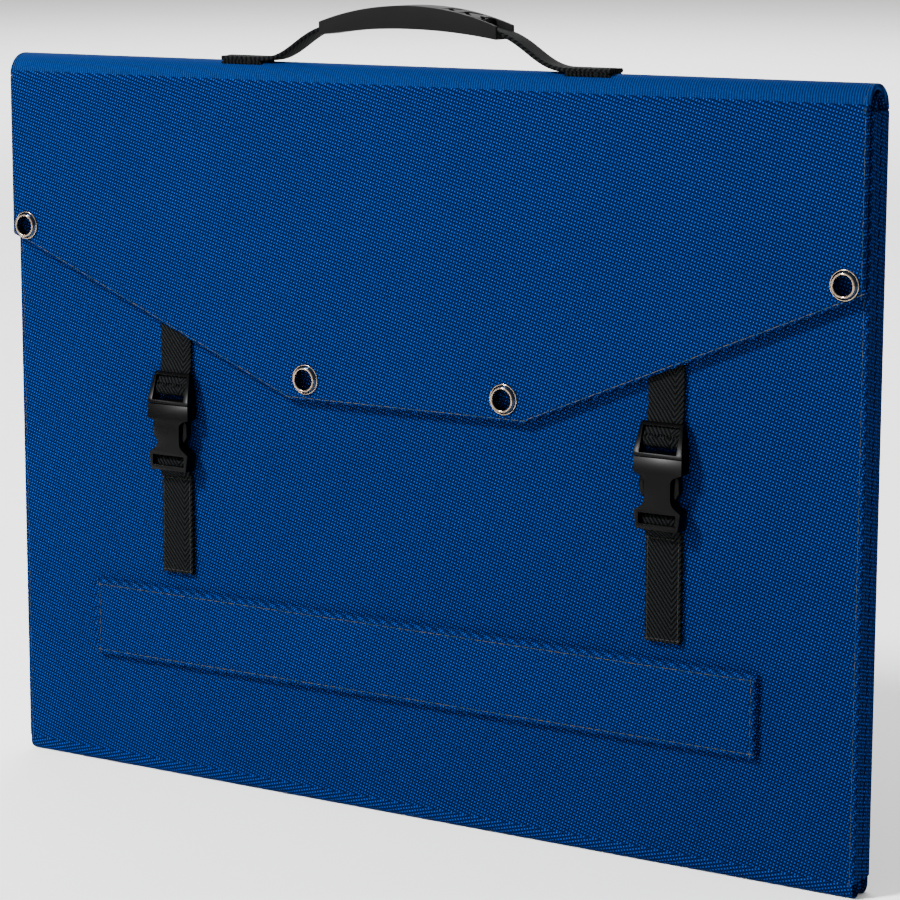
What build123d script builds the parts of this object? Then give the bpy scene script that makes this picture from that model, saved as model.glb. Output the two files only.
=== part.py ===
from build123d import *
import os

os.makedirs("parts", exist_ok=True)

# ---------------------------------------------------------------------------
# Folding solar panel pack: four stiff panels in one fabric cover, closed and
# standing on its two bottom folds.  X runs along the pack, seen from the front
# towards the right, Y runs from the front to the rear, Z is up.
# ---------------------------------------------------------------------------

# Overall
pack_width = 544.0
pack_height = 419.6
flap_overhang = 1.0            # the flap and spine stand past the body at each side

# Panel stack, from the front: 1, 2, 3, 4
panel_depth = 4.6
cell_gap = 0.2                 # between two panels whose cells face each other
back_gap = 0.8                 # between the backs of panels 2 and 3
fold_height = 8.0              # the stiff panels start this far above the ground
panel_top_gap = 0.85           # from the stiff panels' tops to the spine's lower edge
cover_fabric = 0.9
cover_side = 1.5
cover_lip = 0.5
lip_width = 9.0
board_depth = 2.1
laminate_clearance = 0.2
cell_size = 125.0
cell_pitch = 126.0
cell_chamfer = 14.0
cell_depth = 0.25
cell_clearance = 0.1

# Fabric folds and the flat leads that cross them
fold_fabric = 0.9
inner_fold_fabric = 1.4
inner_fold_gap = 0.5           # under the spine
lead_width = 14.0
lead_depth = 0.4
lead_gap = 0.3
lead_x = 180.0

# Spine and flap
flap_fabric = 3.0
flap_stand_off = 5.9           # flap's outer face in front of the front cover
seam_gap = 0.15
flap_corner_height = 314.1
flap_point_height = 232.4
flap_point_x = 76.4
flap_corner_radius = 1.5

# Eyelets
outer_eyelet_inset = 10.7      # from the flap's side edge
outer_eyelet_rise = 5.5        # above the flap's corner
outer_eyelet_bore = 5.3
inner_eyelet_inset = 12.0      # from the end of the flap's lowest edge
inner_eyelet_rise = 12.2       # above that edge
inner_eyelet_bore = 5.7
eyelet_wall = 0.6
eyelet_fit = 0.1
lip_roll = 0.65                # radius of the rolled edge
flange_reach = 2.2             # flange and washer past the tube
flange_depth = 0.6
dome_rise = 0.8                # washer's inner edge in front of its rim
rim_width = 0.8                # flat rim of the washer

# Handle
grip_half_length = 56.5
grip_depth = 19.0
grip_end_low_rise = 15.9       # above the pack's crest, as are the next three
grip_end_high_rise = 23.0
grip_middle_low_rise = 20.3
grip_middle_high_rise = 32.7
handle_strap_width = 15.0
handle_strap_depth = 1.6
strap_fit = 0.25
foot_inner_x = 97.0
foot_outer_x = 124.0
foot_depth = 3.2
strap_end_rise = 19.2          # strap's middle above the crest, where it enters the grip
notch_length = 11.0            # open stretch of the grip's top over each strap end
channel_run_out = 2.0

# Closing straps and side-release buckles
left_strap_x = -157.0
right_strap_x = 160.8
strap_width = 21.0
strap_depth = 1.4
strap_hem_height = 123.0
strap_tuck_height = 300.0
strap_bend = 2.0               # middle radius of the webbing's bends
strap_top_bend = 1.5
ply_gap = 0.2
tuck_gap = 0.5                 # from the flap to the strap under it
rear_ply_rise = 6.0            # above the frame, where the upper strap lies flat again
lower_ply_rise = 3.4           # below the socket, where the rear ply starts to rise
front_ply_rise = 4.4
front_ply_top = 2.8            # above the socket's bottom
tail_rise = 2.0                # strap's tail past the slide bar
buckle_half_width = 14.2
buckle_hip_inset = 0.4
strap_side_gap = 0.5
overcut = 1.0                  # cuts run this far past the faces they open
buckle_bottom_half_width = 12.3
buckle_waist_half_width = 7.8
buckle_top_half_width = 12.3
buckle_front = 11.0            # in front of the front cover
buckle_back = 2.4
buckle_wall = 1.6
collar_wall = 2.0
buckle_bottom_height = 184.4
buckle_hip_height = 194.0
buckle_waist_low = 201.5
buckle_waist_high = 209.5
buckle_shoulder_height = 214.6
socket_floor_height = 198.5
buckle_top_height = 222.7
frame_bottom_height = 223.1
frame_base_height = 225.0
frame_base_rise = 1.0
frame_top_height = 240.8
frame_top_bar = 1.6
frame_top_front = 5.9
slot_lip = 2.6                 # bar across the front under the socket's slot
slot_low_height = 187.2
slot_high_height = 193.2
anchor_height = 189.6
bar_y = 5.2                    # strap bars in front of the front cover
anchor_radius = 1.3
bar_fit = 0.15
slide_bar_half_depth = 1.1
bar_root = 1.0                 # the strap bars run this far into the side walls
slide_bar_low = 229.0
slide_bar_high = 233.2
arm_tip_height = 201.2
arm_pivot_height = 221.9
arm_pivot_x = 9.8
arm_outer_x = 11.8
arm_thickness = 2.3
arm_depth = 4.6
arm_shoulder_height = 211.4
arm_pad_rise = 2.0
arm_tip_rise = 3.5
arm_tip_inset = 2.0
arm_heel_rise = 1.5
arm_heel_inset = 0.2
arm_waist_inset = 0.6
arm_root_rise = 4.0
tongue_half_width = 3.4
tongue_tip_height = 205.0
tongue_depth = 2.4

# Support legs
leg_length = 434.0
leg_width = 45.8
leg_depth = 4.2
leg_gap = 0.3
leg_centre_height = 89.9
leg_board_depth = 2.4
leg_end_hem = 6.0
leg_side_hem = 3.0
leg_corner_radius = 1.0

# Rear pocket, its zip and the controller in it
pocket_width = 240.0
pocket_height = 130.0
pocket_depth = 10.5
pocket_centre_height = 300.0
pocket_fabric = 0.9
pocket_hem = 8.0
pocket_corner_radius = 8.0
zip_length = 180.0
zip_height = 9.0
zip_drop = 22.0                # zip's middle below the pocket's top
zip_side_fit = 0.2
teeth_height = 2.0
teeth_proud = 0.9
slider_length = 11.0
slider_height = 8.0
slider_proud = 2.6
slider_fit = 0.15
pull_length = 20.0
pull_overlap = 2.0             # pull's end past the slider's middle
pull_hole_inset = 6.0
pull_width = 5.0
pull_depth = 0.9
box_width = 104.0
box_height = 66.0
box_depth = 8.6
box_wall = 1.5
box_gap = 0.2
cover_plate = 1.3
circuit_depth = 1.2
circuit_gap = 0.4
socket_width = 13.2
socket_height = 5.6
socket_length = 11.0
socket_wall = 0.4
socket_tongue = 1.6
tongue_clearance = 0.5
tongue_set_back = 1.0
socket_pitch = 24.0
barrel_socket_radius = 2.6
barrel_pin_radius = 0.7

# ---------------------------------------------------------------------------
# Places worked out from the sizes above
# ---------------------------------------------------------------------------
pair_depth = 2 * panel_depth + cell_gap
stack_depth = 2 * pair_depth + back_gap
overall_depth = buckle_front + stack_depth + pocket_depth + slider_proud
front_y = buckle_front - overall_depth / 2
rear_y = front_y + stack_depth
arch_radius = (flap_stand_off + stack_depth) / 2
arch_y = rear_y - arch_radius
spring_height = pack_height - arch_radius
panel_top = spring_height - panel_top_gap
panel_height = panel_top - fold_height
panel_middle = (panel_top + fold_height) / 2
fold_radius = pair_depth / 2
front_fold_y = front_y + fold_radius
rear_fold_y = rear_y - fold_radius
inner_fold_y = front_y + stack_depth / 2
inner_fold_radius = panel_depth + back_gap / 2
fold_room = arch_radius - flap_fabric - inner_fold_gap - inner_fold_radius
inner_fold_height = spring_height + (fold_room ** 2 - (inner_fold_y - arch_y) ** 2) ** 0.5
cell_columns = int((pack_width - 2 * lip_width) / cell_pitch)
cell_rows = int((panel_height - 2 * lip_width) / cell_pitch)
flap_y = front_y - flap_stand_off
flap_inner_y = flap_y + flap_fabric
flap_half_width = pack_width / 2 + flap_overhang
outer_eyelet_x = flap_half_width - outer_eyelet_inset
outer_eyelet_height = flap_corner_height + outer_eyelet_rise
inner_eyelet_x = flap_point_x - inner_eyelet_inset
inner_eyelet_height = flap_point_height + inner_eyelet_rise
grip_end_low = pack_height + grip_end_low_rise
grip_end_high = pack_height + grip_end_high_rise
grip_middle_low = pack_height + grip_middle_low_rise
grip_middle_high = pack_height + grip_middle_high_rise
strap_end_height = pack_height + strap_end_rise
tray_width = pack_width - 2 * cover_side
tray_height = panel_height - 2 * cover_side
laminate_depth = panel_depth - cover_fabric - board_depth - cover_lip
pocket_rear_y = rear_y + pocket_depth
zip_height_middle = pocket_centre_height + pocket_height / 2 - zip_drop
slider_x = (zip_length - slider_length) / 2
box_front_y = rear_y + box_gap
box_rear_y = box_front_y + box_depth
lid_front_y = box_rear_y - cover_plate
inner_front_y = box_front_y + box_wall
port_y = (inner_front_y + lid_front_y) / 2
box_top = pocket_centre_height + box_height / 2
socket_low = box_top - socket_length


def facing(y):
    """Plane across the pack at depth y, with X to the right and Z up; it looks forwards."""
    return Plane.XZ.offset(-y)


def slab(x, z, width, height, y_front, y_rear, mode=Mode.ADD):
    """Add or cut a flat block centred at x and z, from y_front to y_rear."""
    with BuildSketch(facing(y_rear)) as outline:
        with Locations((x, z)):
            Rectangle(width, height)
    extrude(outline.sketch, amount=y_rear - y_front, mode=mode)


def keep(piece, label):
    """Name the finished piece and write it."""
    piece.part.label = label
    export_step(piece.part, f"parts/{label}.step")


# ---------------------------------------------------------------------------
# The four panels: fabric tray, stiff board, laminate and cells
# ---------------------------------------------------------------------------
def panel(name, back_y, towards, lead_slot):
    """One panel whose fabric back lies at back_y and whose cells look along towards * Y."""

    def layer(near, far):
        """Front and rear depth of a layer given by its distances from the panel's back."""
        return sorted((back_y + towards * near, back_y + towards * far))

    board_near = cover_fabric
    laminate_near = cover_fabric + board_depth
    lip_near = laminate_near + laminate_depth
    window_width = pack_width - 2 * lip_width
    window_height = panel_height - 2 * lip_width
    sheet_width = tray_width - 2 * laminate_clearance
    sheet_height = tray_height - 2 * laminate_clearance

    with BuildPart() as cover:
        slab(0, panel_middle, pack_width, panel_height, *layer(0, panel_depth))
        slab(0, panel_middle, tray_width, tray_height, *layer(board_near, lip_near),
             mode=Mode.SUBTRACT)
        slab(0, panel_middle, window_width, window_height, *layer(lip_near, panel_depth),
             mode=Mode.SUBTRACT)
        if lead_slot:
            slab(0, pocket_centre_height, lead_width + 2 * lead_gap, lead_depth + 2 * lead_gap,
                 *layer(0, board_near), mode=Mode.SUBTRACT)
    keep(cover, f"{name}_cover")

    with BuildPart() as board:
        slab(0, panel_middle, sheet_width, sheet_height, *layer(board_near, laminate_near))
        if lead_slot:
            slab(0, pocket_centre_height, lead_width + 2 * lead_gap, lead_depth + 2 * lead_gap,
                 *layer(board_near, laminate_near), mode=Mode.SUBTRACT)
    keep(board, f"{name}_board")

    cell_near = lip_near - cell_depth
    pocket = cell_size + 2 * cell_clearance
    with BuildPart() as laminate:
        slab(0, panel_middle, sheet_width, sheet_height, *layer(laminate_near, lip_near))
        with BuildSketch(facing(layer(cell_near, lip_near)[1])) as pockets:
            with Locations((0, panel_middle)):
                with GridLocations(cell_pitch, cell_pitch, cell_columns, cell_rows):
                    Rectangle(pocket, pocket)
            chamfer(pockets.vertices(), cell_chamfer)
        extrude(pockets.sketch, amount=cell_depth, mode=Mode.SUBTRACT)
    keep(laminate, f"{name}_laminate")

    with BuildPart() as cells:
        with BuildSketch(facing(layer(cell_near, lip_near)[1])) as squares:
            with Locations((0, panel_middle)):
                with GridLocations(cell_pitch, cell_pitch, cell_columns, cell_rows):
                    Rectangle(cell_size, cell_size)
            chamfer(squares.vertices(), cell_chamfer)
        extrude(squares.sketch, amount=cell_depth)
    keep(cells, f"{name}_cells")


panel("panel_1", front_y, 1, False)
panel("panel_2", front_y + pair_depth, -1, False)
panel("panel_3", rear_y - pair_depth, 1, False)
panel("panel_4", rear_y, -1, True)


# ---------------------------------------------------------------------------
# Fabric folds between the panels, each with its two flat leads
# ---------------------------------------------------------------------------
def fold(label, middle_y, centre_height, end_height, radius, thickness, width, places):
    """U-shaped strips from one panel's end round to the next panel's end, one at each place."""
    middle_radius = radius - thickness / 2
    outward = 1 if centre_height > end_height else -1
    with BuildPart() as strip:
        for x in places:
            with BuildSketch(Plane.YZ.offset(x - width / 2)) as section:
                with BuildLine():
                    Line((middle_y - middle_radius, end_height),
                         (middle_y - middle_radius, centre_height))
                    ThreePointArc((middle_y - middle_radius, centre_height),
                                  (middle_y, centre_height + outward * middle_radius),
                                  (middle_y + middle_radius, centre_height))
                    Line((middle_y + middle_radius, centre_height),
                         (middle_y + middle_radius, end_height))
                trace(line_width=thickness)
            extrude(section.sketch, amount=width)
    keep(strip, label)


fold("front_fold", front_fold_y, fold_radius, fold_height, fold_radius, fold_fabric,
     pack_width, [0])
fold("rear_fold", rear_fold_y, fold_radius, fold_height, fold_radius, fold_fabric,
     pack_width, [0])
fold("inner_fold", inner_fold_y, inner_fold_height, panel_top, inner_fold_radius,
     inner_fold_fabric, pack_width, [0])
fold("front_fold_leads", front_fold_y, fold_radius, fold_height,
     fold_radius - fold_fabric - lead_gap, lead_depth, lead_width, [-lead_x, lead_x])
fold("rear_fold_leads", rear_fold_y, fold_radius, fold_height,
     fold_radius - fold_fabric - lead_gap, lead_depth, lead_width, [-lead_x, lead_x])
fold("inner_fold_leads", inner_fold_y, inner_fold_height, panel_top,
     inner_fold_radius - inner_fold_fabric - lead_gap, lead_depth, lead_width,
     [-lead_x, lead_x])

# ---------------------------------------------------------------------------
# Spine: the arch of cover fabric over the closed pack
# ---------------------------------------------------------------------------
with BuildPart() as spine:
    with BuildSketch(Plane.YZ.offset(-flap_half_width)) as arch:
        with BuildLine():
            arch_line = arch_radius - flap_fabric / 2
            ThreePointArc((arch_y - arch_line, spring_height),
                          (arch_y, spring_height + arch_line),
                          (arch_y + arch_line, spring_height))
            Line((arch_y + arch_line, spring_height), (arch_y + arch_line, panel_top))
        trace(line_width=flap_fabric)
    extrude(arch.sketch, amount=2 * flap_half_width)
keep(spine, "spine")

# ---------------------------------------------------------------------------
# Flap with its four eyelets
# ---------------------------------------------------------------------------
eyelets = [(-outer_eyelet_x, outer_eyelet_height, outer_eyelet_bore),
           (-inner_eyelet_x, inner_eyelet_height, inner_eyelet_bore),
           (inner_eyelet_x, inner_eyelet_height, inner_eyelet_bore),
           (outer_eyelet_x, outer_eyelet_height, outer_eyelet_bore)]

with BuildPart() as flap:
    with BuildSketch(facing(flap_inner_y)) as outline:
        with BuildLine():
            Polyline((-flap_half_width, spring_height - seam_gap),
                     (-flap_half_width, flap_corner_height),
                     (-flap_point_x, flap_point_height),
                     (flap_point_x, flap_point_height),
                     (flap_half_width, flap_corner_height),
                     (flap_half_width, spring_height - seam_gap),
                     close=True)
        make_face()
        lower_corners = outline.vertices().sort_by(Axis.Y)[:4]
        fillet(lower_corners, flap_corner_radius)
        for x, z, bore in eyelets:
            with Locations((x, z)):
                Circle(bore + eyelet_wall + eyelet_fit, mode=Mode.SUBTRACT)
    extrude(outline.sketch, amount=flap_fabric)
keep(flap, "flap")

with BuildPart() as eyelet_barrels:
    for x, z, bore in eyelets:
        tube = bore + eyelet_wall
        dome_y = flap_y - dome_rise - flange_depth
        roll_y = dome_y - lip_roll
        with BuildSketch(Plane(origin=(x, 0, z), x_dir=(1, 0, 0), z_dir=(0, 0, 1))) as section:
            with BuildLine():
                Polyline((bore, roll_y), (bore, flap_inner_y + flange_depth),
                         (tube + flange_reach, flap_inner_y + flange_depth),
                         (tube + flange_reach, flap_inner_y), (tube, flap_inner_y),
                         (tube, dome_y))
                Line((tube, dome_y), (bore + lip_roll, dome_y))
                ThreePointArc((bore + lip_roll, roll_y + lip_roll),
                              (bore + 2 * lip_roll, roll_y),
                              (bore + lip_roll, roll_y - lip_roll))
                CenterArc((bore + lip_roll, roll_y), lip_roll, 270, -90)
            make_face()
        revolve(section.sketch, axis=Axis((x, 0, z), (0, 1, 0)))
keep(eyelet_barrels, "eyelet_barrels")

with BuildPart() as eyelet_washers:
    for x, z, bore in eyelets:
        tube = bore + eyelet_wall
        rim, inner = tube + flange_reach, tube + eyelet_fit
        with BuildSketch(Plane(origin=(x, 0, z), x_dir=(1, 0, 0), z_dir=(0, 0, 1))) as section:
            with BuildLine():
                Polyline((rim, flap_y), (rim - rim_width, flap_y),
                         (inner, flap_y - dome_rise), (inner, flap_y - dome_rise - flange_depth),
                         (rim - rim_width, flap_y - flange_depth), (rim, flap_y - flange_depth),
                         close=True)
            make_face()
        revolve(section.sketch, axis=Axis((x, 0, z), (0, 1, 0)))
keep(eyelet_washers, "eyelet_washers")

# ---------------------------------------------------------------------------
# Carrying handle: moulded grip on a webbing strap, sewn down at two feet
# ---------------------------------------------------------------------------
foot_middle = pack_height + handle_strap_depth / 2
strap_middle_height = (grip_middle_low + grip_middle_high) / 2
with BuildPart() as handle_strap:
    with BuildSketch(Plane.XZ.offset(-(arch_y + handle_strap_width / 2))) as strap_section:
        with BuildLine():
            over = ThreePointArc((-grip_half_length, strap_end_height),
                                 (0, strap_middle_height),
                                 (grip_half_length, strap_end_height))
            Spline((-foot_inner_x, foot_middle), over @ 0, tangents=[(1, 0), over % 0])
            Spline(over @ 1, (foot_inner_x, foot_middle), tangents=[over % 1, (1, 0)])
        trace(line_width=handle_strap_depth)
    extrude(strap_section.sketch, amount=handle_strap_width)
keep(handle_strap, "handle_strap")

with BuildPart() as handle_feet:
    with BuildSketch(Plane.YZ.offset(foot_inner_x)) as foot_section:
        with Locations((arch_y, pack_height)):
            Rectangle(handle_strap_width, 2 * foot_depth)
        with Locations((arch_y, spring_height)):
            Circle(arch_radius, mode=Mode.SUBTRACT)
    extrude(foot_section.sketch, amount=foot_outer_x - foot_inner_x)
    mirror(about=Plane.YZ)
keep(handle_feet, "handle_feet")

with BuildPart() as handle_grip:
    with BuildSketch(Plane.XZ.offset(-(arch_y + grip_depth / 2))) as side:
        with BuildLine():
            ThreePointArc((-grip_half_length, grip_end_low), (0, grip_middle_low),
                          (grip_half_length, grip_end_low))
            Line((grip_half_length, grip_end_low), (grip_half_length, grip_end_high))
            ThreePointArc((grip_half_length, grip_end_high), (0, grip_middle_high),
                          (-grip_half_length, grip_end_high))
            Line((-grip_half_length, grip_end_high), (-grip_half_length, grip_end_low))
        make_face()
    extrude(side.sketch, amount=grip_depth)
    channel_width = handle_strap_width + 2 * strap_fit
    with BuildSketch(Plane.XZ.offset(-(arch_y + channel_width / 2))) as channel:
        with BuildLine():
            hollow = ThreePointArc((-grip_half_length, strap_end_height),
                                   (0, strap_middle_height),
                                   (grip_half_length, strap_end_height))
            Line(hollow @ 0, hollow @ 0 - channel_run_out * (hollow % 0))
            Line(hollow @ 1, hollow @ 1 + channel_run_out * (hollow % 1))
        trace(line_width=handle_strap_depth + 2 * strap_fit)
        for x in (-grip_half_length, grip_half_length):
            with Locations((x, strap_end_height + notch_length / 2)):
                Rectangle(2 * notch_length, notch_length)
    extrude(channel.sketch, amount=channel_width, mode=Mode.SUBTRACT)
keep(handle_grip, "handle_grip")

# ---------------------------------------------------------------------------
# Closing straps and side-release buckles, one set at each side
# ---------------------------------------------------------------------------
buckle_front_y = front_y - buckle_front
buckle_back_y = front_y - buckle_back
bar_centre_y = front_y - bar_y
socket_inner_y = (buckle_front_y + buckle_wall + buckle_back_y - buckle_wall) / 2
slot_half_width = strap_width / 2 + strap_side_gap
collar_half_width = buckle_half_width - collar_wall
strap_wrap = bar_fit + strap_depth / 2
inner_ply_y = front_y - strap_depth / 2 - ply_gap
outer_ply_y = inner_ply_y - strap_depth - ply_gap
tuck_y = flap_inner_y + strap_depth / 2 + tuck_gap


def block(x, width, low, high, y_front, y_rear, mode=Mode.ADD):
    """Add or cut a block given by its lowest and highest points."""
    slab(x, (low + high) / 2, width, high - low, y_front, y_rear, mode)


def buckle(side, x):
    """Socket, strap frame and two sprung arms of one side-release buckle centred at x."""
    hip = buckle_half_width - buckle_hip_inset
    with BuildPart() as socket:
        with BuildSketch(facing(buckle_back_y)) as outline:
            with BuildLine():
                for hand in (-1, 1):
                    Line((x, buckle_bottom_height),
                         (x + hand * buckle_bottom_half_width, buckle_bottom_height))
                    Line((x + hand * buckle_bottom_half_width, buckle_bottom_height),
                         (x + hand * hip, buckle_hip_height))
                    Spline((x + hand * hip, buckle_hip_height),
                           (x + hand * buckle_waist_half_width, buckle_waist_low),
                           tangents=[(-hand, 0.9), (0, 1)])
                    Line((x + hand * buckle_waist_half_width, buckle_waist_low),
                         (x + hand * buckle_waist_half_width, buckle_waist_high))
                    Spline((x + hand * buckle_waist_half_width, buckle_waist_high),
                           (x + hand * buckle_half_width, buckle_shoulder_height),
                           tangents=[(0, 1), (hand, 0.5)])
                    Line((x + hand * buckle_half_width, buckle_shoulder_height),
                         (x + hand * buckle_half_width, buckle_top_height))
                    Line((x + hand * buckle_half_width, buckle_top_height),
                         (x, buckle_top_height))
            make_face()
        extrude(outline.sketch, amount=buckle_front - buckle_back)
        block(x, 2 * collar_half_width, socket_floor_height, buckle_top_height + overcut,
              buckle_front_y + buckle_wall, buckle_back_y - buckle_wall, Mode.SUBTRACT)
        block(x, 2 * slot_half_width, slot_low_height, slot_high_height,
              buckle_front_y - overcut, buckle_back_y + overcut, Mode.SUBTRACT)
        block(x, 2 * slot_half_width, buckle_bottom_height - overcut, slot_low_height,
              buckle_front_y + slot_lip, buckle_back_y + overcut, Mode.SUBTRACT)
        with BuildSketch(Plane.YZ.offset(x - slot_half_width - bar_root)) as pin:
            with Locations((bar_centre_y, anchor_height)):
                Circle(anchor_radius)
        extrude(pin.sketch, amount=2 * (slot_half_width + bar_root))
    keep(socket, f"{side}_buckle_socket")

    with BuildPart() as frame:
        with BuildSketch(facing(buckle_back_y)) as outline:
            with BuildLine():
                Polyline((x - buckle_half_width, frame_bottom_height),
                         (x + buckle_half_width, frame_bottom_height),
                         (x + buckle_half_width, frame_base_height),
                         (x + buckle_top_half_width, frame_top_height),
                         (x - buckle_top_half_width, frame_top_height),
                         (x - buckle_half_width, frame_base_height),
                         close=True)
            make_face()
        extrude(outline.sketch, amount=buckle_front - buckle_back)
        with BuildSketch(Plane.YZ.offset(x - buckle_half_width - overcut)) as wedge:
            with BuildLine():
                Polyline((buckle_back_y, frame_bottom_height),
                         (buckle_front_y, frame_bottom_height),
                         (buckle_front_y, frame_base_height + frame_base_rise),
                         (front_y - frame_top_front, frame_top_height),
                         (buckle_back_y, frame_top_height),
                         close=True)
            make_face()
        extrude(wedge.sketch, amount=2 * (buckle_half_width + overcut), mode=Mode.INTERSECT)
        block(x, 2 * slot_half_width, frame_base_height, frame_top_height - frame_top_bar,
              buckle_front_y - overcut, buckle_back_y + overcut, Mode.SUBTRACT)
        block(x, 2 * slot_half_width, frame_top_height - frame_top_bar - overcut,
              frame_top_height + overcut, front_y - frame_top_front + frame_top_bar,
              buckle_back_y + overcut, Mode.SUBTRACT)
        with BuildSketch(Plane.YZ.offset(x - slot_half_width - bar_root)) as bar:
            with Locations((bar_centre_y, (slide_bar_low + slide_bar_high) / 2)):
                SlotOverall(slide_bar_high - slide_bar_low, 2 * slide_bar_half_depth,
                            rotation=90)
        extrude(bar.sketch, amount=2 * (slot_half_width + bar_root))
        block(x, 2 * tongue_half_width, tongue_tip_height, frame_base_height,
              socket_inner_y - tongue_depth / 2, socket_inner_y + tongue_depth / 2)
    keep(frame, f"{side}_buckle_frame")

    for hand, arm_name in ((-1, "left"), (1, "right")):
        pivot = x + hand * arm_pivot_x
        half = arm_thickness / 2
        with BuildPart() as arm:
            with BuildSketch(facing(socket_inner_y + arm_depth / 2)) as outline:
                with BuildLine():
                    inner_x = pivot - hand * half
                    outer_x = pivot + hand * half
                    pad_x = x + hand * arm_outer_x
                    ThreePointArc((inner_x, arm_pivot_height),
                                  (pivot, arm_pivot_height + half),
                                  (outer_x, arm_pivot_height))
                    Polyline((outer_x, arm_pivot_height),
                             (outer_x, arm_shoulder_height + arm_pad_rise),
                             (pad_x, arm_shoulder_height),
                             (pad_x, arm_tip_height + arm_tip_rise),
                             (pad_x - hand * arm_tip_inset, arm_tip_height),
                             (inner_x - hand * arm_heel_inset, arm_tip_height + arm_heel_rise),
                             (inner_x + hand * arm_waist_inset, arm_shoulder_height),
                             (inner_x, arm_shoulder_height + arm_root_rise),
                             (inner_x, arm_pivot_height))
                make_face()
            extrude(outline.sketch, amount=arm_depth)
        keep(arm, f"{side}_buckle_{arm_name}_arm")


def lower_strap(side, x):
    """Doubled webbing sewn to the front panel and looped round the socket's anchor bar."""
    turn = anchor_radius + strap_wrap
    bar_rear = bar_centre_y + turn
    bar_front = bar_centre_y - turn
    with BuildPart() as strap:
        with BuildSketch(Plane.YZ.offset(x - strap_width / 2)) as section:
            with BuildLine():
                FilletPolyline((inner_ply_y, strap_hem_height),
                               (inner_ply_y, buckle_bottom_height - lower_ply_rise),
                               (bar_rear, buckle_bottom_height),
                               (bar_rear, anchor_height), radius=strap_bend)
                ThreePointArc((bar_rear, anchor_height),
                              (bar_centre_y, anchor_height + turn),
                              (bar_front, anchor_height))
                FilletPolyline((bar_front, anchor_height),
                               (bar_front, buckle_bottom_height + front_ply_top),
                               (outer_ply_y, buckle_bottom_height - front_ply_rise),
                               (outer_ply_y, strap_hem_height), radius=strap_bend)
            trace(line_width=strap_depth)
        extrude(section.sketch, amount=strap_width)
    keep(strap, f"{side}_lower_strap")


def upper_strap(side, x):
    """Webbing from under the flap, over the frame's slide bar and back up as a short tail."""
    turn = slide_bar_half_depth + strap_wrap
    turn_height = slide_bar_low + slide_bar_half_depth
    top_bar_y = front_y - frame_top_front + frame_top_bar + strap_depth / 2 + 2 * bar_fit
    with BuildPart() as strap:
        with BuildSketch(Plane.YZ.offset(x - strap_width / 2)) as section:
            with BuildLine():
                Line((bar_centre_y + turn, slide_bar_high + tail_rise),
                     (bar_centre_y + turn, turn_height))
                ThreePointArc((bar_centre_y + turn, turn_height),
                              (bar_centre_y, turn_height - turn),
                              (bar_centre_y - turn, turn_height))
                FilletPolyline((bar_centre_y - turn, turn_height),
                               (bar_centre_y - turn, slide_bar_high - ply_gap),
                               (top_bar_y, frame_top_height - frame_top_bar),
                               (tuck_y, frame_top_height + rear_ply_rise),
                               (tuck_y, strap_tuck_height), radius=strap_top_bend)
            trace(line_width=strap_depth)
        extrude(section.sketch, amount=strap_width)
    keep(strap, f"{side}_upper_strap")


for side, strap_x in (("left", left_strap_x), ("right", right_strap_x)):
    buckle(side, strap_x)
    lower_strap(side, strap_x)
    upper_strap(side, strap_x)


# ---------------------------------------------------------------------------
# Support legs: a stiff board in a sewn sleeve, open at the hinged end
# ---------------------------------------------------------------------------
def leg(name, y_front, y_rear):
    """Leg folded flat against a panel, between the depths y_front and y_rear."""
    board_front = (y_front + y_rear - leg_board_depth) / 2
    board_rear = board_front + leg_board_depth
    board_length = leg_length - leg_end_hem
    board_width = leg_width - 2 * leg_side_hem
    with BuildPart() as sleeve:
        with BuildSketch(facing(y_rear)) as outline:
            with Locations((0, leg_centre_height)):
                RectangleRounded(leg_length, leg_width, leg_corner_radius)
        extrude(outline.sketch, amount=leg_depth)
        slab(-leg_end_hem / 2, leg_centre_height, board_length, board_width,
             board_front, board_rear, Mode.SUBTRACT)
    keep(sleeve, f"{name}_sleeve")
    with BuildPart() as board:
        slab(-leg_end_hem / 2, leg_centre_height, board_length - 2 * laminate_clearance,
             board_width - 2 * laminate_clearance, board_front, board_rear)
    keep(board, f"{name}_board")


leg("front_leg", front_y - leg_gap - leg_depth, front_y - leg_gap)
leg("rear_leg", rear_y + leg_gap, rear_y + leg_gap + leg_depth)

# ---------------------------------------------------------------------------
# Rear pocket with its zip
# ---------------------------------------------------------------------------
with BuildPart() as rear_pocket:
    slab(0, pocket_centre_height, pocket_width + 2 * pocket_hem,
         pocket_height + 2 * pocket_hem, rear_y, rear_y + pocket_fabric)
    with BuildSketch(facing(pocket_rear_y)) as bag:
        with Locations((0, pocket_centre_height)):
            RectangleRounded(pocket_width, pocket_height, pocket_corner_radius)
    extrude(bag.sketch, amount=pocket_depth)
    with BuildSketch(facing(pocket_rear_y - pocket_fabric)) as inside:
        with Locations((0, pocket_centre_height)):
            RectangleRounded(pocket_width - 2 * pocket_fabric, pocket_height - 2 * pocket_fabric,
                             pocket_corner_radius - pocket_fabric)
    extrude(inside.sketch, amount=pocket_depth - pocket_fabric, mode=Mode.SUBTRACT)
    slab(0, zip_height_middle, zip_length + 2 * zip_side_fit, zip_height + 2 * zip_side_fit,
         pocket_rear_y - pocket_fabric, pocket_rear_y, Mode.SUBTRACT)
keep(rear_pocket, "rear_pocket")

tape_height = (zip_height - teeth_height) / 2
with BuildPart() as zip_tapes:
    for hand in (-1, 1):
        tape_z = zip_height_middle + hand * (teeth_height + tape_height) / 2
        slab(0, tape_z, zip_length, tape_height, pocket_rear_y - pocket_fabric, pocket_rear_y)
keep(zip_tapes, "zip_tapes")

with BuildPart() as zip_teeth:
    slab(0, zip_height_middle, zip_length, teeth_height,
         pocket_rear_y - pocket_fabric, pocket_rear_y + teeth_proud)
keep(zip_teeth, "zip_teeth")

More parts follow.
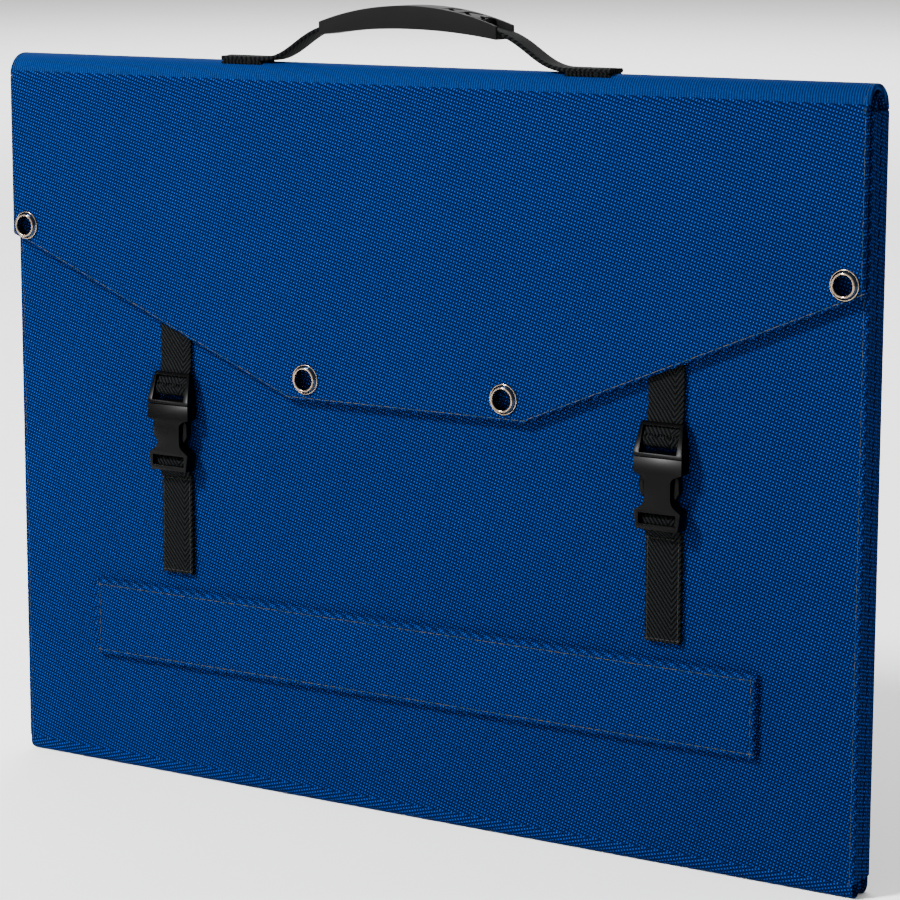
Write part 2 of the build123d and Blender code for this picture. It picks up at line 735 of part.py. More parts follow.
with BuildPart() as zip_slider:
    slab(slider_x, zip_height_middle, slider_length, slider_height,
         pocket_rear_y + slider_fit, pocket_rear_y + slider_proud - pull_depth - slider_fit)
    slab(slider_x, zip_height_middle, slider_length + overcut, teeth_height + 2 * slider_fit,
         pocket_rear_y, pocket_rear_y + teeth_proud + slider_fit, Mode.SUBTRACT)
keep(zip_slider, "zip_slider")

with BuildPart() as zip_pull:
    slab(slider_x - pull_length / 2 + pull_overlap, zip_height_middle, pull_length, pull_width,
         pocket_rear_y + slider_proud - pull_depth, pocket_rear_y + slider_proud)
    slab(slider_x - pull_length + pull_hole_inset, zip_height_middle, pull_width,
         pull_width / 2, pocket_rear_y, pocket_rear_y + slider_proud + overcut, Mode.SUBTRACT)
keep(zip_pull, "zip_pull")

# ---------------------------------------------------------------------------
# Controller box in the pocket
# ---------------------------------------------------------------------------
with BuildPart() as controller_box:
    slab(0, pocket_centre_height, box_width, box_height, box_front_y, lid_front_y)
    slab(0, pocket_centre_height, box_width - 2 * box_wall, box_height - 2 * box_wall,
         inner_front_y, lid_front_y, Mode.SUBTRACT)
    slab(0, pocket_centre_height, lead_width + 2 * lead_gap, lead_depth + 2 * lead_gap,
         box_front_y, inner_front_y, Mode.SUBTRACT)
    for x in (-socket_pitch, 0):
        slab(x, box_top - box_wall / 2, socket_width, box_wall, port_y - socket_height / 2,
             port_y + socket_height / 2, Mode.SUBTRACT)
    with BuildSketch(Plane.XY.offset(box_top - box_wall)) as round_port:
        with Locations((socket_pitch, port_y)):
            Circle(barrel_socket_radius)
    extrude(round_port.sketch, amount=box_wall, mode=Mode.SUBTRACT)
keep(controller_box, "controller_box")

with BuildPart() as controller_lid:
    slab(0, pocket_centre_height, box_width, box_height, lid_front_y, box_rear_y)
keep(controller_lid, "controller_lid")

circuit_y = inner_front_y + circuit_gap
with BuildPart() as feed_lead:
    slab(0, pocket_centre_height, lead_width, lead_depth,
         rear_y - cover_fabric - board_depth, circuit_y)
keep(feed_lead, "feed_lead")

box_floor = pocket_centre_height - box_height / 2 + box_wall
with BuildPart() as controller_circuit:
    block(0, box_width - 2 * box_wall - 2 * circuit_gap, box_floor + circuit_gap,
          socket_low - circuit_gap, circuit_y, circuit_y + circuit_depth)
keep(controller_circuit, "controller_circuit")

with BuildPart() as usb_sockets:
    for x in (-socket_pitch, 0):
        shell_width = socket_width - 2 * slider_fit
        shell_height = min(socket_height, lid_front_y - inner_front_y) - 2 * slider_fit
        block(x, shell_width, socket_low, box_top,
              port_y - shell_height / 2, port_y + shell_height / 2)
        block(x, shell_width - 2 * socket_wall, socket_low + socket_wall, box_top,
              port_y - shell_height / 2 + socket_wall,
              port_y + shell_height / 2 - socket_wall, Mode.SUBTRACT)
        block(x, shell_width - 2 * (socket_wall + tongue_clearance),
              socket_low + socket_wall, box_top - tongue_set_back,
              port_y - socket_tongue / 2, port_y + socket_tongue / 2)
keep(usb_sockets, "usb_sockets")

round_radius = barrel_socket_radius - slider_fit
with BuildPart() as barrel_socket:
    with BuildSketch(Plane.XY.offset(socket_low)) as base:
        with Locations((socket_pitch, port_y)):
            Circle(round_radius)
    extrude(base.sketch, amount=socket_length)
    with BuildSketch(Plane.XY.offset(socket_low + socket_wall)) as ring:
        with Locations((socket_pitch, port_y)):
            Circle(round_radius - socket_wall)
            Circle(barrel_pin_radius, mode=Mode.SUBTRACT)
    extrude(ring.sketch, amount=socket_length, mode=Mode.SUBTRACT)
keep(barrel_socket, "barrel_socket")
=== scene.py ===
"""Looks of a folding solar panel pack: fabric, webbing, buckles, eyelets, handle, cells and pocket.

Sizes are in millimetres in the classes and become metres where a mesh is made.
X runs along the pack, Y from the front to the rear, Z up.
"""
import logging
import math
from dataclasses import dataclass, field
from enum import Enum
from functools import partial
from typing import Callable, Iterable, Optional, Sequence

import bmesh
import bpy
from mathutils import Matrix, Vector


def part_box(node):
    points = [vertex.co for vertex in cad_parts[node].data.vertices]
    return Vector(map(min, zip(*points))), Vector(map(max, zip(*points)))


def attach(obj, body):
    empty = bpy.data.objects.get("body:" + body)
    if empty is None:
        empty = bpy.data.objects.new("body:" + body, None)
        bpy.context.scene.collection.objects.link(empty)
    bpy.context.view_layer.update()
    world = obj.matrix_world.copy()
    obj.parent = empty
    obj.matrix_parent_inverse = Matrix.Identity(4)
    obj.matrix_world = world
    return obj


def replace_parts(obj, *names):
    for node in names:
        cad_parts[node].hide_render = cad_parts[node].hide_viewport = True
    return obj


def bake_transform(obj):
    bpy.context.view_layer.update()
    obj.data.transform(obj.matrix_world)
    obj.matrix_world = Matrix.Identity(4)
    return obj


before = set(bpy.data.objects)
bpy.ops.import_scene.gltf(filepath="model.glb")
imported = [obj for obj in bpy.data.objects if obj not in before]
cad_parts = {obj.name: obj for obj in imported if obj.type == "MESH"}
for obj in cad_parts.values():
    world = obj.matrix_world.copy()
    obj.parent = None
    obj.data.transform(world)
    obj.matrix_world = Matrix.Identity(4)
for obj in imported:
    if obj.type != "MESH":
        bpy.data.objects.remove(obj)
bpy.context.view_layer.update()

LOG = logging.getLogger("solar_pack")
MM = 0.001
WEAVE_MAP = "Weave"
RIBBED = "Ribbed"
SHADE = "Shade"
STITCH_PITCH = 5.0
Point = tuple[float, float]
Colour = tuple[float, float, float]
Line = list[Vector]


# ---------------------------------------------------------------------------
# Shader bench: arithmetic on sockets, and one method for every node
# ---------------------------------------------------------------------------
class Value:
    """A number on a node's output, with Python arithmetic that adds Math nodes."""

    def __init__(self, bench: "Bench", socket: bpy.types.NodeSocket) -> None:
        """Wrap one output socket of a node on the bench."""
        self.bench = bench
        self.socket = socket

    def math(self, operation: str, *others: object) -> "Value":
        """Apply a Math operation.

        Args:
            operation: the Math node's operation.
            others: the further inputs, values or numbers.

        Returns:
            The result as a value.
        """
        inputs = {place: item for place, item in enumerate((self, *others))}
        made = self.bench.node("ShaderNodeMath", {"operation": operation}, inputs)
        return Value(self.bench, made.outputs[0])

    def __add__(self, other: object) -> "Value":
        """Sum."""
        return self.math("ADD", other)

    def __sub__(self, other: object) -> "Value":
        """Difference."""
        return self.math("SUBTRACT", other)

    def __rsub__(self, other: float) -> "Value":
        """Difference from a plain number."""
        return (self * -1) + other

    def __mul__(self, other: object) -> "Value":
        """Product."""
        return self.math("MULTIPLY", other)

    def __truediv__(self, other: object) -> "Value":
        """Quotient."""
        return self.math("DIVIDE", other)

    __radd__ = __add__
    __rmul__ = __mul__

    def wave(self) -> "Value":
        """Cosine of a number of whole turns."""
        return (self * (2 * math.pi)).math("COSINE")

    def step(self, level: float) -> "Value":
        """1 where the value is above the level, and 0 elsewhere."""
        return self.math("GREATER_THAN", level)


def add_node(tree: bpy.types.NodeTree, kind: str, settings: Optional[dict] = None,
             inputs: Optional[dict] = None) -> bpy.types.Node:
    """Add a node to a tree.

    Args:
        tree: the shader, world or Geometry Nodes tree.
        kind: the node's type.
        settings: its own properties, set first.
        inputs: values, sockets or plain numbers by the input's name or place.

    Returns:
        The node.
    """
    made = tree.nodes.new(kind)
    for key, item in (settings or {}).items():
        setattr(made, key, item)
    for key, item in (inputs or {}).items():
        source = item.socket if isinstance(item, Value) else item
        if isinstance(source, bpy.types.NodeSocket):
            tree.links.new(source, made.inputs[key])
        else:
            made.inputs[key].default_value = source
    return made


class Bench:
    """The node tree of one material while it is made."""

    def __init__(self, name: str) -> None:
        """Start an empty material called name."""
        self.material = bpy.data.materials.new(name)
        self.material.use_nodes = True
        self.tree = self.material.node_tree
        self.tree.nodes.clear()

    def node(self, kind: str, settings: Optional[dict] = None,
             inputs: Optional[dict] = None) -> bpy.types.Node:
        """Add a node to the material, as add_node does."""
        return add_node(self.tree, kind, settings, inputs)

    def split(self, vector: bpy.types.NodeSocket, scale: float) -> tuple[Value, Value, Value]:
        """Split a vector into its three numbers, each times scale."""
        parts = self.node("ShaderNodeSeparateXYZ", None, {0: vector})
        return tuple(Value(self, parts.outputs[place]) * scale for place in range(3))

    def weave_map(self) -> tuple[Value, Value]:
        """Read the place on the cloth.

        Returns:
            The distance across and the distance along, in millimetres.
        """
        uv = self.node("ShaderNodeUVMap", {"uv_map": WEAVE_MAP})
        across, along, _ = self.split(uv.outputs[0], 1 / MM)
        return across, along

    def place(self) -> bpy.types.NodeSocket:
        """Object coordinates, in metres."""
        return self.node("ShaderNodeTexCoord").outputs["Object"]

    def noise(self, scale: float, detail: float = 2.0) -> Value:
        """Noise on object coordinates, with scale features per metre."""
        made = self.node("ShaderNodeTexNoise", None,
                         {"Vector": self.place(), "Scale": scale, "Detail": detail})
        return Value(self, made.outputs[0])

    def attribute(self, name: str) -> Value:
        """A number stored on the mesh."""
        made = self.node("ShaderNodeAttribute", {"attribute_name": name})
        return Value(self, made.outputs["Fac"])

    def ramp(self, factor: Value, stops: Sequence[tuple[float, Colour]]) -> bpy.types.NodeSocket:
        """Run colours along a factor.

        Args:
            factor: what picks the colour.
            stops: each colour with its place, from 0 to 1.

        Returns:
            The colour's socket.
        """
        made = self.node("ShaderNodeValToRGB", None, {0: factor})
        elements = made.color_ramp.elements
        while len(elements) < len(stops):
            elements.new(0.5)
        for element, (position, colour) in zip(elements, stops):
            element.position = position
            element.color = (*colour, 1)
        return made.outputs[0]

    def mix(self, factor: object, low: object, high: object) -> bpy.types.NodeSocket:
        """Mix two colours.

        Args:
            factor: 0 for the low colour, 1 for the high one.
            low: a colour or its socket.
            high: a colour or its socket.

        Returns:
            The mixed colour's socket.
        """
        def four(item: object) -> object:
            """A plain colour with its alpha."""
            return (*item, 1) if isinstance(item, tuple) else item

        made = self.node("ShaderNodeMix", {"data_type": "RGBA"},
                         {0: factor, 6: four(low), 7: four(high)})
        return made.outputs[2]

    def shade(self, colour: bpy.types.NodeSocket, factor: Value) -> bpy.types.NodeSocket:
        """Scale a colour by a number."""
        made = self.node("ShaderNodeVectorMath", {"operation": "SCALE"},
                         {0: colour, "Scale": factor})
        return made.outputs[0]

    def bump(self, height: Value, distance: float, strength: float = 1.0) -> bpy.types.NodeSocket:
        """Normal from a height, with distance in metres."""
        made = self.node("ShaderNodeBump", None,
                         {"Strength": strength, "Distance": distance, "Height": height})
        return made.outputs[0]

    def close(self, constants: dict, links: dict) -> bpy.types.Material:
        """Finish the material with a Principled BSDF.

        Args:
            constants: inputs that are the same all over.
            links: inputs that change over the surface.

        Returns:
            The material.
        """
        shader = self.node("ShaderNodeBsdfPrincipled", None, {**constants, **links})
        self.node("ShaderNodeOutputMaterial", None, {"Surface": shader.outputs[0]})
        return self.material


# ---------------------------------------------------------------------------
# Finishes
# ---------------------------------------------------------------------------
@dataclass(frozen=True)
class CoverFabric:
    """Coarse blue polyester in plain weave, with a ribbed look where it runs over the top."""

    name: str = "cover_fabric"
    gap: Colour = (0.0, 0.0008, 0.0055)
    thread: Colour = (0.0, 0.0070, 0.046)
    knuckle: Colour = (0.0, 0.040, 0.27)
    rib_low: Colour = (0.0, 0.0042, 0.027)
    rib_high: Colour = (0.0, 0.0195, 0.100)
    warp_pitch: float = 1.82
    weft_pitch: float = 1.93
    turn: float = 14.8
    crossing: float = 2.3
    rib_pitch: float = 1.5
    rib_lean: float = 7.0

    def material(self) -> bpy.types.Material:
        """Make the material.

        Returns:
            The finished material.
        """
        bench = Bench(self.name)
        across, along = bench.weave_map()
        cosine, sine = math.cos(math.radians(self.turn)), math.sin(math.radians(self.turn))
        warp = ((across * cosine - along * sine) / self.warp_pitch).wave()
        weft = ((across * sine + along * cosine) / self.weft_pitch).wave()
        raised = warp + weft + warp * weft * self.crossing + self.crossing
        height = raised / (2 + 2 * self.crossing)
        fibre = bench.noise(900.0) - 0.5
        tone = bench.noise(14.0) - 0.5
        woven = bench.ramp(height + fibre * 0.12,
                           [(0.08, self.gap), (0.48, self.thread), (1.0, self.knuckle)])
        rib = ((across + along / self.rib_lean) / self.rib_pitch).wave() * 0.5 + 0.5
        ribbed = bench.mix(rib * (fibre + 0.9), self.rib_low, self.rib_high)
        zone = bench.attribute(RIBBED).math("ADD", fibre * 0.5).step(0.5)
        colour = bench.shade(bench.mix(zone, woven, ribbed), tone * 0.18 + 1.0)
        relief = height * (1 - zone) + rib * zone * 0.25
        return bench.close({"Roughness": 0.86, "Specular IOR Level": 0.02},
                           {"Base Color": colour, "Normal": bench.bump(relief, 0.00022, 0.75)})


@dataclass(frozen=True)
class Webbing:
    """Black twill webbing with diagonal ribs that turn back along one edge."""

    name: str = "webbing"
    groove: Colour = (0.0001, 0.0001, 0.00012)
    rib: Colour = (0.0062, 0.0069, 0.0073)
    pitch: float = 2.4
    turned_edge: float = 5.4
    slope: float = 0.775

    def material(self) -> bpy.types.Material:
        """Make the material.

        Returns:
            The finished material.
        """
        bench = Bench(self.name)
        across, along = bench.weave_map()
        turned = across.step(self.turned_edge)
        lean = across * (1 - turned * 2) + turned * (2 * self.turned_edge)
        wave = ((lean + along * self.slope) / self.pitch).wave() * 0.5 + 0.5
        yarn = (along / 0.7).wave() * 0.5 + 0.5
        fibre = bench.noise(1400.0) - 0.5
        height = wave * (0.8 + yarn * 0.2) + fibre * 0.15
        colour = bench.mix(height, self.groove, self.rib)
        return bench.close({"Roughness": 0.75, "Specular IOR Level": 0.02},
                           {"Base Color": colour, "Normal": bench.bump(height, 0.0003, 0.9)})


@dataclass(frozen=True)
class Moulding:
    """Moulded plastic with a fine grain and slight wear."""

    name: str
    colour: Colour
    roughness: float
    grain: float = 2600.0
    depth: float = 0.00002
    specular: float = 0.5
    crown_middle: float = 0.0
    crown_reach: float = 0.0

    def material(self) -> bpy.types.Material:
        """Make the material.

        Returns:
            The finished material.
        """
        bench = Bench(self.name)
        grain = bench.noise(self.grain)
        haze = bench.noise(55.0, 3.0)
        worn = tuple(1.25 * part for part in self.colour)
        colour = bench.shade(bench.mix(haze, self.colour, worn), grain * 0.3 + 0.85)
        relief, distance = grain, self.depth
        if self.crown_reach:
            _, _, z = bench.split(bench.place(), 1.0)
            from_middle = z - self.crown_middle
            crown = from_middle * from_middle * (-1 / self.crown_reach)
            relief, distance = crown + grain * self.depth, 1.0
        return bench.close({"Specular IOR Level": self.specular},
                           {"Base Color": colour, "Roughness": haze * 0.12 + (self.roughness - 0.06),
                            "Normal": bench.bump(relief, distance, 1.0)})


@dataclass(frozen=True)
class Plate:
    """Polished nickel plate with faint brush marks and tarnish. In the washer crown finish both
    colours are painted dark blue reflection of the fabric and painted shade, not tarnish.
    """

    name: str = "nickel"
    colour: Colour = (0.30, 0.23, 0.165)
    tarnish_and_painted_reflection: Colour = (0.07, 0.052, 0.036)

    def material(self) -> bpy.types.Material:
        """Make the material.

        Returns:
            The finished material.
        """
        bench = Bench(self.name)
        haze = bench.noise(420.0, 4.0)
        scuff = bench.noise(3000.0, 1.0)
        colour = bench.mix(haze.math("MULTIPLY", haze), self.colour, self.tarnish_and_painted_reflection)
        return bench.close({"Metallic": 1.0},
                           {"Base Color": colour, "Roughness": haze * 0.16 + 0.08,
                            "Normal": bench.bump(scuff, 0.000006, 0.4)})


@dataclass(frozen=True)
class Thread:
    """Twisted sewing thread, between two shades from stitch to stitch."""

    name: str = "thread"
    light: Colour = (0.043, 0.038, 0.024)
    dark: Colour = (0.009, 0.023, 0.026)

    def material(self) -> bpy.types.Material:
        """Make the material.

        Returns:
            The finished material.
        """
        bench = Bench(self.name)
        twist = bench.noise(2500.0)
        colour = bench.mix(bench.attribute(SHADE) + (twist - 0.5) * 0.5, self.light, self.dark)
        return bench.close({"Roughness": 0.75, "Specular IOR Level": 0.05},
                           {"Base Color": colour, "Normal": bench.bump(twist, 0.00004, 0.6)})


@dataclass(frozen=True)
class CellFace:
    """Dark silicon cell under film: a faint grid of contacts and a slow drift of blue."""

    name: str = "cell"
    deep: Colour = (0.0015, 0.0022, 0.0065)
    blue: Colour = (0.0026, 0.0055, 0.019)
    contact: Colour = (0.015, 0.016, 0.019)
    finger_pitch: float = 1.4
    bar_pitch: float = 25.2
    bar_width: float = 0.985

    def material(self) -> bpy.types.Material:
        """Make the material.

        Returns:
            The finished material.
        """
        bench = Bench(self.name)
        x, _, z = bench.split(bench.place(), 1 / MM)
        finger = (z / self.finger_pitch).wave().step(0.8)
        bar = (x / self.bar_pitch).wave().step(self.bar_width)
        drift = bench.noise(9.0, 3.0)
        silicon = bench.mix(drift, self.deep, self.blue)
        lined = bench.mix(finger * 0.35, silicon, self.contact)
        colour = bench.mix(bar * 0.8, lined, self.contact)
        pebble = bench.noise(520.0, 0.0)
        return bench.close({"Specular IOR Level": 0.05},
                           {"Base Color": colour, "Roughness": drift * 0.15 + 0.28,
                            "Normal": bench.bump(pebble, 0.00006, 0.35)})


@dataclass(frozen=True)
class FilmFace:
    """Pebbled film over a dark back sheet, with silvery ribbons between the cell rows."""

    name: str = "laminate"
    sheet: Colour = (0.005, 0.0055, 0.0068)
    ribbon: Colour = (0.09, 0.09, 0.095)
    row_pitch: float = 126.0
    ribbon_width: float = 0.9994
    ribbon_pitch: float = 12.0

    def material(self) -> bpy.types.Material:
        """Make the material.

        Returns:
            The finished material.
        """
        bench = Bench(self.name)
        x, _, z = bench.split(bench.place(), 1 / MM)
        offset = self.row_pitch / 2
        cross = ((x + offset) / self.row_pitch).wave().step(self.ribbon_width)
        dots = (z / self.ribbon_pitch).wave().step(-0.2)
        pebble = bench.noise(520.0, 0.0)
        colour = bench.mix(cross * dots, self.sheet, self.ribbon)
        return bench.close({"Specular IOR Level": 0.05},
                           {"Base Color": colour, "Roughness": pebble * 0.1 + 0.34,
                            "Normal": bench.bump(pebble, 0.00008, 0.5)})


@dataclass(frozen=True)
class FibreBoard:
    """Pale pressed board with short fibres."""

    name: str = "board"
    pale: Colour = (0.24, 0.215, 0.17)
    dark: Colour = (0.15, 0.125, 0.09)

    def material(self) -> bpy.types.Material:
        """Make the material.

        Returns:
            The finished material.
        """
        bench = Bench(self.name)
        fleck = bench.noise(700.0, 5.0)
        return bench.close({"Roughness": 0.8},
                           {"Base Color": bench.mix(fleck, self.dark, self.pale),
                            "Normal": bench.bump(fleck, 0.00005, 0.5)})


@dataclass(frozen=True)
class CircuitFace:
    """Green solder mask with a lattice of copper runs showing through."""

    name: str = "circuit"
    mask: Colour = (0.005, 0.05, 0.018)
    run: Colour = (0.022, 0.11, 0.03)

    def material(self) -> bpy.types.Material:
        """Make the material.

        Returns:
            The finished material.
        """
        bench = Bench(self.name)
        x, _, z = bench.split(bench.place(), 1 / MM)
        runs = (x / 2.5).wave().step(0.7).math("MAXIMUM", (z / 3.5).wave().step(0.8))
        return bench.close({"Roughness": 0.3, "Coat Weight": 0.4},
                           {"Base Color": bench.mix(runs, self.mask, self.run),
                            "Normal": bench.bump(runs, 0.00004, 0.6)})


class Stock(Enum):
    """The finishes that pieces are made in."""

    FABRIC = CoverFabric()
    WEBBING = Webbing()
    GRIP = Moulding("grip_plastic", (0.0045, 0.0045, 0.0045), 0.56, depth=0.00001, specular=0.018)
    BUCKLE = Moulding("buckle_plastic", (0.0006, 0.0006, 0.0007), 0.34, depth=0.00001,
                      specular=0.05, crown_middle=0.203, crown_reach=0.12)
    BLACK = Moulding("black_plastic", (0.005, 0.005, 0.0055), 0.45, specular=0.3)
    LEAD = Moulding("lead", (0.004, 0.004, 0.004), 0.42, grain=900.0, specular=0.3)
    NICKEL = Plate()
    # The washer crown's dark blue colours are painted reflection of the blue fabric and painted
    # shade, not the metal's own colour.
    CROWN = Plate("washer_crown_painted_reflection", (0.018, 0.03, 0.06), (0.01, 0.014, 0.024))
    THREAD = Thread()
    STRAP_THREAD = Thread("strap_thread", (0.021, 0.0205, 0.020), (0.012, 0.0127, 0.013))
    CELL = CellFace()
    FILM = FilmFace()
    BOARD = FibreBoard()
    CIRCUIT = CircuitFace()


class Store:
    """Makes each finish's material once."""

    def __init__(self) -> None:
        """Start with nothing made."""
        self.made: dict[Stock, bpy.types.Material] = {}

    def material(self, stock: Stock) -> bpy.types.Material:
        """Find the material of a finish, made when it is first asked for.

        Args:
            stock: the finish.

        Returns:
            The material.
        """
        if stock not in self.made:
            self.made[stock] = stock.value.material()
        return self.made[stock]


STORE = Store()


# ---------------------------------------------------------------------------
# Mesh making
# ---------------------------------------------------------------------------
def millimetres(node: str) -> tuple[Vector, Vector]:
    """Lowest and highest corner of a CAD node, in millimetres."""
    low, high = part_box(node)
    return low / MM, high / MM


def show(name: str, data: bpy.types.ID) -> bpy.types.Object:
    """Make an object that holds data and link it to the scene.

    Args:
        name: the object's name.
        data: its mesh, curve, lamp or camera.

    Returns:
        The object.
    """
    made = bpy.data.objects.new(name, data)
    bpy.context.scene.collection.objects.link(made)
    return made


def close_mesh(mesh: bpy.types.Mesh, merge: float = 0.0, flatten: float = 0.0) -> None:
    """Merge a mesh's doubles, clear its flat edges and turn its faces outwards.

    Args:
        mesh: the mesh, changed in place.
        merge: points nearer than this, in metres, become one.
        flatten: edges that turn by less than this many degrees go.
    """
    shape = bmesh.new()
    shape.from_mesh(mesh)
    if merge:
        bmesh.ops.remove_doubles(shape, verts=shape.verts, dist=merge)
    if flatten:
        bmesh.ops.dissolve_limit(shape, angle_limit=math.radians(flatten), verts=shape.verts,
                                 edges=shape.edges)
    bmesh.ops.recalc_face_normals(shape, faces=shape.faces)
    shape.to_mesh(mesh)
    shape.free()


def ring_faces(rows: int, count: int, joined: bool = False) -> list[tuple[int, ...]]:
    """Faces between rings of points.

    Args:
        rows: how many rings.
        count: how many points in each.
        joined: the last ring runs on into the first, and there are no end caps.

    Returns:
        Each face's points.
    """
    caps = [tuple(range(count)), tuple(range((rows - 1) * count, rows * count))]
    faces = [] if joined else caps
    for row in range(rows if joined else rows - 1):
        ahead = (row + 1) % rows
        for step in range(count):
            following = (step + 1) % count
            faces.append((row * count + step, row * count + following,
                          ahead * count + following, ahead * count + step))
    return faces


def planar_map(mesh: bpy.types.Mesh) -> None:
    """Lay the weave flat on each face, by the direction that the face looks in.

    Args:
        mesh: the mesh that gets the map.
    """
    layer = mesh.uv_layers.new(name=WEAVE_MAP)
    for polygon in mesh.polygons:
        size = [abs(component) for component in polygon.normal]
        first, second = ((1, 2), (0, 2), (0, 1))[size.index(max(size))]
        for loop in polygon.loop_indices:
            spot = mesh.vertices[mesh.loops[loop].vertex_index].co
            layer.data[loop].uv = (spot[first], spot[second])


def make_object(name: str, points: Sequence[Vector], faces: Sequence[Sequence[int]],
                sharp: float = 40.0) -> bpy.types.Object:
    """Make a mesh object from points in millimetres.

    Args:
        name: the object's name.
        points: places in the shared frame.
        faces: each face's points.
        sharp: edges that turn by more than this many degrees stay sharp.

    Returns:
        The object, with its faces pointing outwards and the weave laid flat on it.
    """
    mesh = bpy.data.meshes.new(name)
    mesh.from_pydata([Vector(p) * MM for p in points], [], faces)
    close_mesh(mesh, merge=1e-7)
    made = show(name, mesh)
    finish_mesh(made, sharp)
    return made


def finish_mesh(made: bpy.types.Object, sharp: float) -> None:
    """Shade a piece smoothly between sharp edges and lay the weave on it, if it has none.

    Args:
        made: the piece.
        sharp: edges that turn by more than this many degrees stay sharp.
    """
    mesh = made.data
    mesh.shade_smooth()
    mesh.set_sharp_from_angle(angle=math.radians(sharp))
    if WEAVE_MAP not in mesh.uv_layers:
        planar_map(mesh)


def settle(made: bpy.types.Object, sharp: float = 40.0) -> bpy.types.Object:
    """Apply a piece's modifiers, so that its own mesh is the finished one, mapped afresh.

    Args:
        made: the piece.
        sharp: edges that turn by more than this many degrees stay sharp.

    Returns:
        The same piece.
    """
    graph = bpy.context.evaluated_depsgraph_get()
    mesh = bpy.data.meshes.new_from_object(made.evaluated_get(graph))
    made.modifiers.clear()
    made.data = mesh
    while mesh.uv_layers:
        mesh.uv_layers.remove(mesh.uv_layers[0])
    finish_mesh(made, sharp)
    return made


def dress(made: bpy.types.Object, stock: Stock, body: Optional[str] = None,
          replaces: Iterable[str] = ()) -> bpy.types.Object:
    """Give a piece its finish, its body and the CAD nodes that it stands for.

    Args:
        made: the piece.
        stock: its finish.
        body: the CAD body that it rides on, or None to leave it unattached.
        replaces: the CAD nodes that it stands for.

    Returns:
        The same piece.
    """
    made.data.materials.clear()
    made.data.materials.append(STORE.material(stock))
    if body:
        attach(made, body)
    if replaces:
        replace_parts(made, *replaces)
    return made


def loft(name: str, rings: Sequence[Sequence[Vector]], sharp: float = 40.0) -> bpy.types.Object:
    """Skin a row of closed rings and close both ends.

    Args:
        name: the object's name.
        rings: the rings in order, with as many points each.
        sharp: edges that turn by more than this many degrees stay sharp.

    Returns:
        The closed piece.
    """
    points = [p for ring in rings for p in ring]
    return make_object(name, points, ring_faces(len(rings), len(rings[0])), sharp)


def corner_arc(before: Vector, corner: Vector, after: Vector, radius: float,
               steps: int) -> Line:
    """Round a corner.

    Args:
        before: a point on the run that comes in.
        corner: where the two runs meet.
        after: a point on the run that goes out.
        radius: the arc's radius.
        steps: faces round the arc.

    Returns:
        The arc's points.
    """
    back, ahead = (before - corner).normalized(), (after - corner).normalized()
    half = back.angle(ahead) / 2
    reach = radius / math.tan(half)
    centre = corner + (back + ahead).normalized() * (radius / math.sin(half))
    start, end = corner + back * reach - centre, corner + ahead * reach - centre
    turn = start.angle(end)
    return [centre + (start * math.sin((1 - s / steps) * turn)
                      + end * math.sin(s / steps * turn)) / math.sin(turn)
            for s in range(steps + 1)]


def inset_outline(corners: Sequence[Point], insets: Sequence[float], radius: float,
                  steps: int = 5) -> Line:
    """Move each edge of a convex outline inwards and round its corners.

    Args:
        corners: the outline's corners, anticlockwise in X and Z.
        insets: how far each edge moves, from the corner of the same place to the next.
        radius: the corners' radius.
        steps: faces round each corner.

    Returns:
        The new outline, as flat points.
    """
    count = len(corners)
    flat = [Vector(c) for c in corners]
    lines = []
    for place in range(count):
        run = (flat[(place + 1) % count] - flat[place]).normalized()
        inwards = Vector((-run.y, run.x))
        lines.append((flat[place] + inwards * insets[place], run))
    moved = []
    for place in range(count):
        (p, d), (q, e) = lines[place - 1], lines[place]
        along = ((q.x - p.x) * e.y - (q.y - p.y) * e.x) / (d.x * e.y - d.y * e.x)
        moved.append(p + d * along)
    outline = []
    for place in range(count):
        outline += corner_arc(moved[place - 1], moved[place], moved[(place + 1) % count],
                              radius, steps)
    return outline


@dataclass
class Layered:
    """A flat sewn piece: an outline skinned through levels of inset and depth."""

    corners: Sequence[Point]
    held: Sequence[bool]
    radius: float = 1.5

    def skin(self, name: str, levels: Sequence[tuple[float, float, bool]]) -> bpy.types.Object:
        """Skin the outline.

        Args:
            name: the object's name.
            levels: inset, depth Y, and whether edges that run into a neighbour keep their place.

        Returns:
            The closed piece.
        """
        rings = []
        for inset, depth, keeps in levels:
            insets = [0.0 if keeps and held else inset for held in self.held]
            flat = inset_outline(self.corners, insets, max(self.radius - inset, 0.25))
            rings.append([Vector((p.x, depth, p.y)) for p in flat])
        return loft(name, rings)


def box_corners(x_low: float, x_high: float, z_low: float, z_high: float) -> list[Point]:
    """Corners of an upright rectangle: bottom left, bottom right, top right, top left."""
    return [(x_low, z_low), (x_high, z_low), (x_high, z_high), (x_low, z_high)]


def box_lines(y: float, x_low: float, x_high: float, z_low: float, z_high: float) -> list[Line]:
    """The four sides of an upright rectangle at depth Y, for a row."""
    ring = [Vector((x, y, z)) for x, z in box_corners(x_low, x_high, z_low, z_high)]
    return [[start, end] for start, end in zip(ring, ring[1:] + ring[:1])]


def rounded_path(corners: Sequence[Point], radius: float, steps: int = 5) -> Line:
    """Make a path of straight runs with its inner corners rounded.

    Args:
        corners: the ends and corners of the runs.
        radius: the corners' radius.
        steps: faces round each corner.

    Returns:
        The path, as flat points.
    """
    flat = [Vector(c) for c in corners]
    path = [flat[0]]
    for before, corner, after in zip(flat, flat[1:], flat[2:]):
        path += corner_arc(before, corner, after, radius, steps)
    return path + [flat[-1]]


def arc_path(centre: Point, radius: float, start: float, end: float, steps: int) -> Line:
    """Points of an arc between two angles in degrees."""
    turns = (math.radians(start + (end - start) * s / steps) for s in range(steps + 1))
    return [Vector((centre[0] + radius * math.cos(turn), centre[1] + radius * math.sin(turn)))
            for turn in turns]


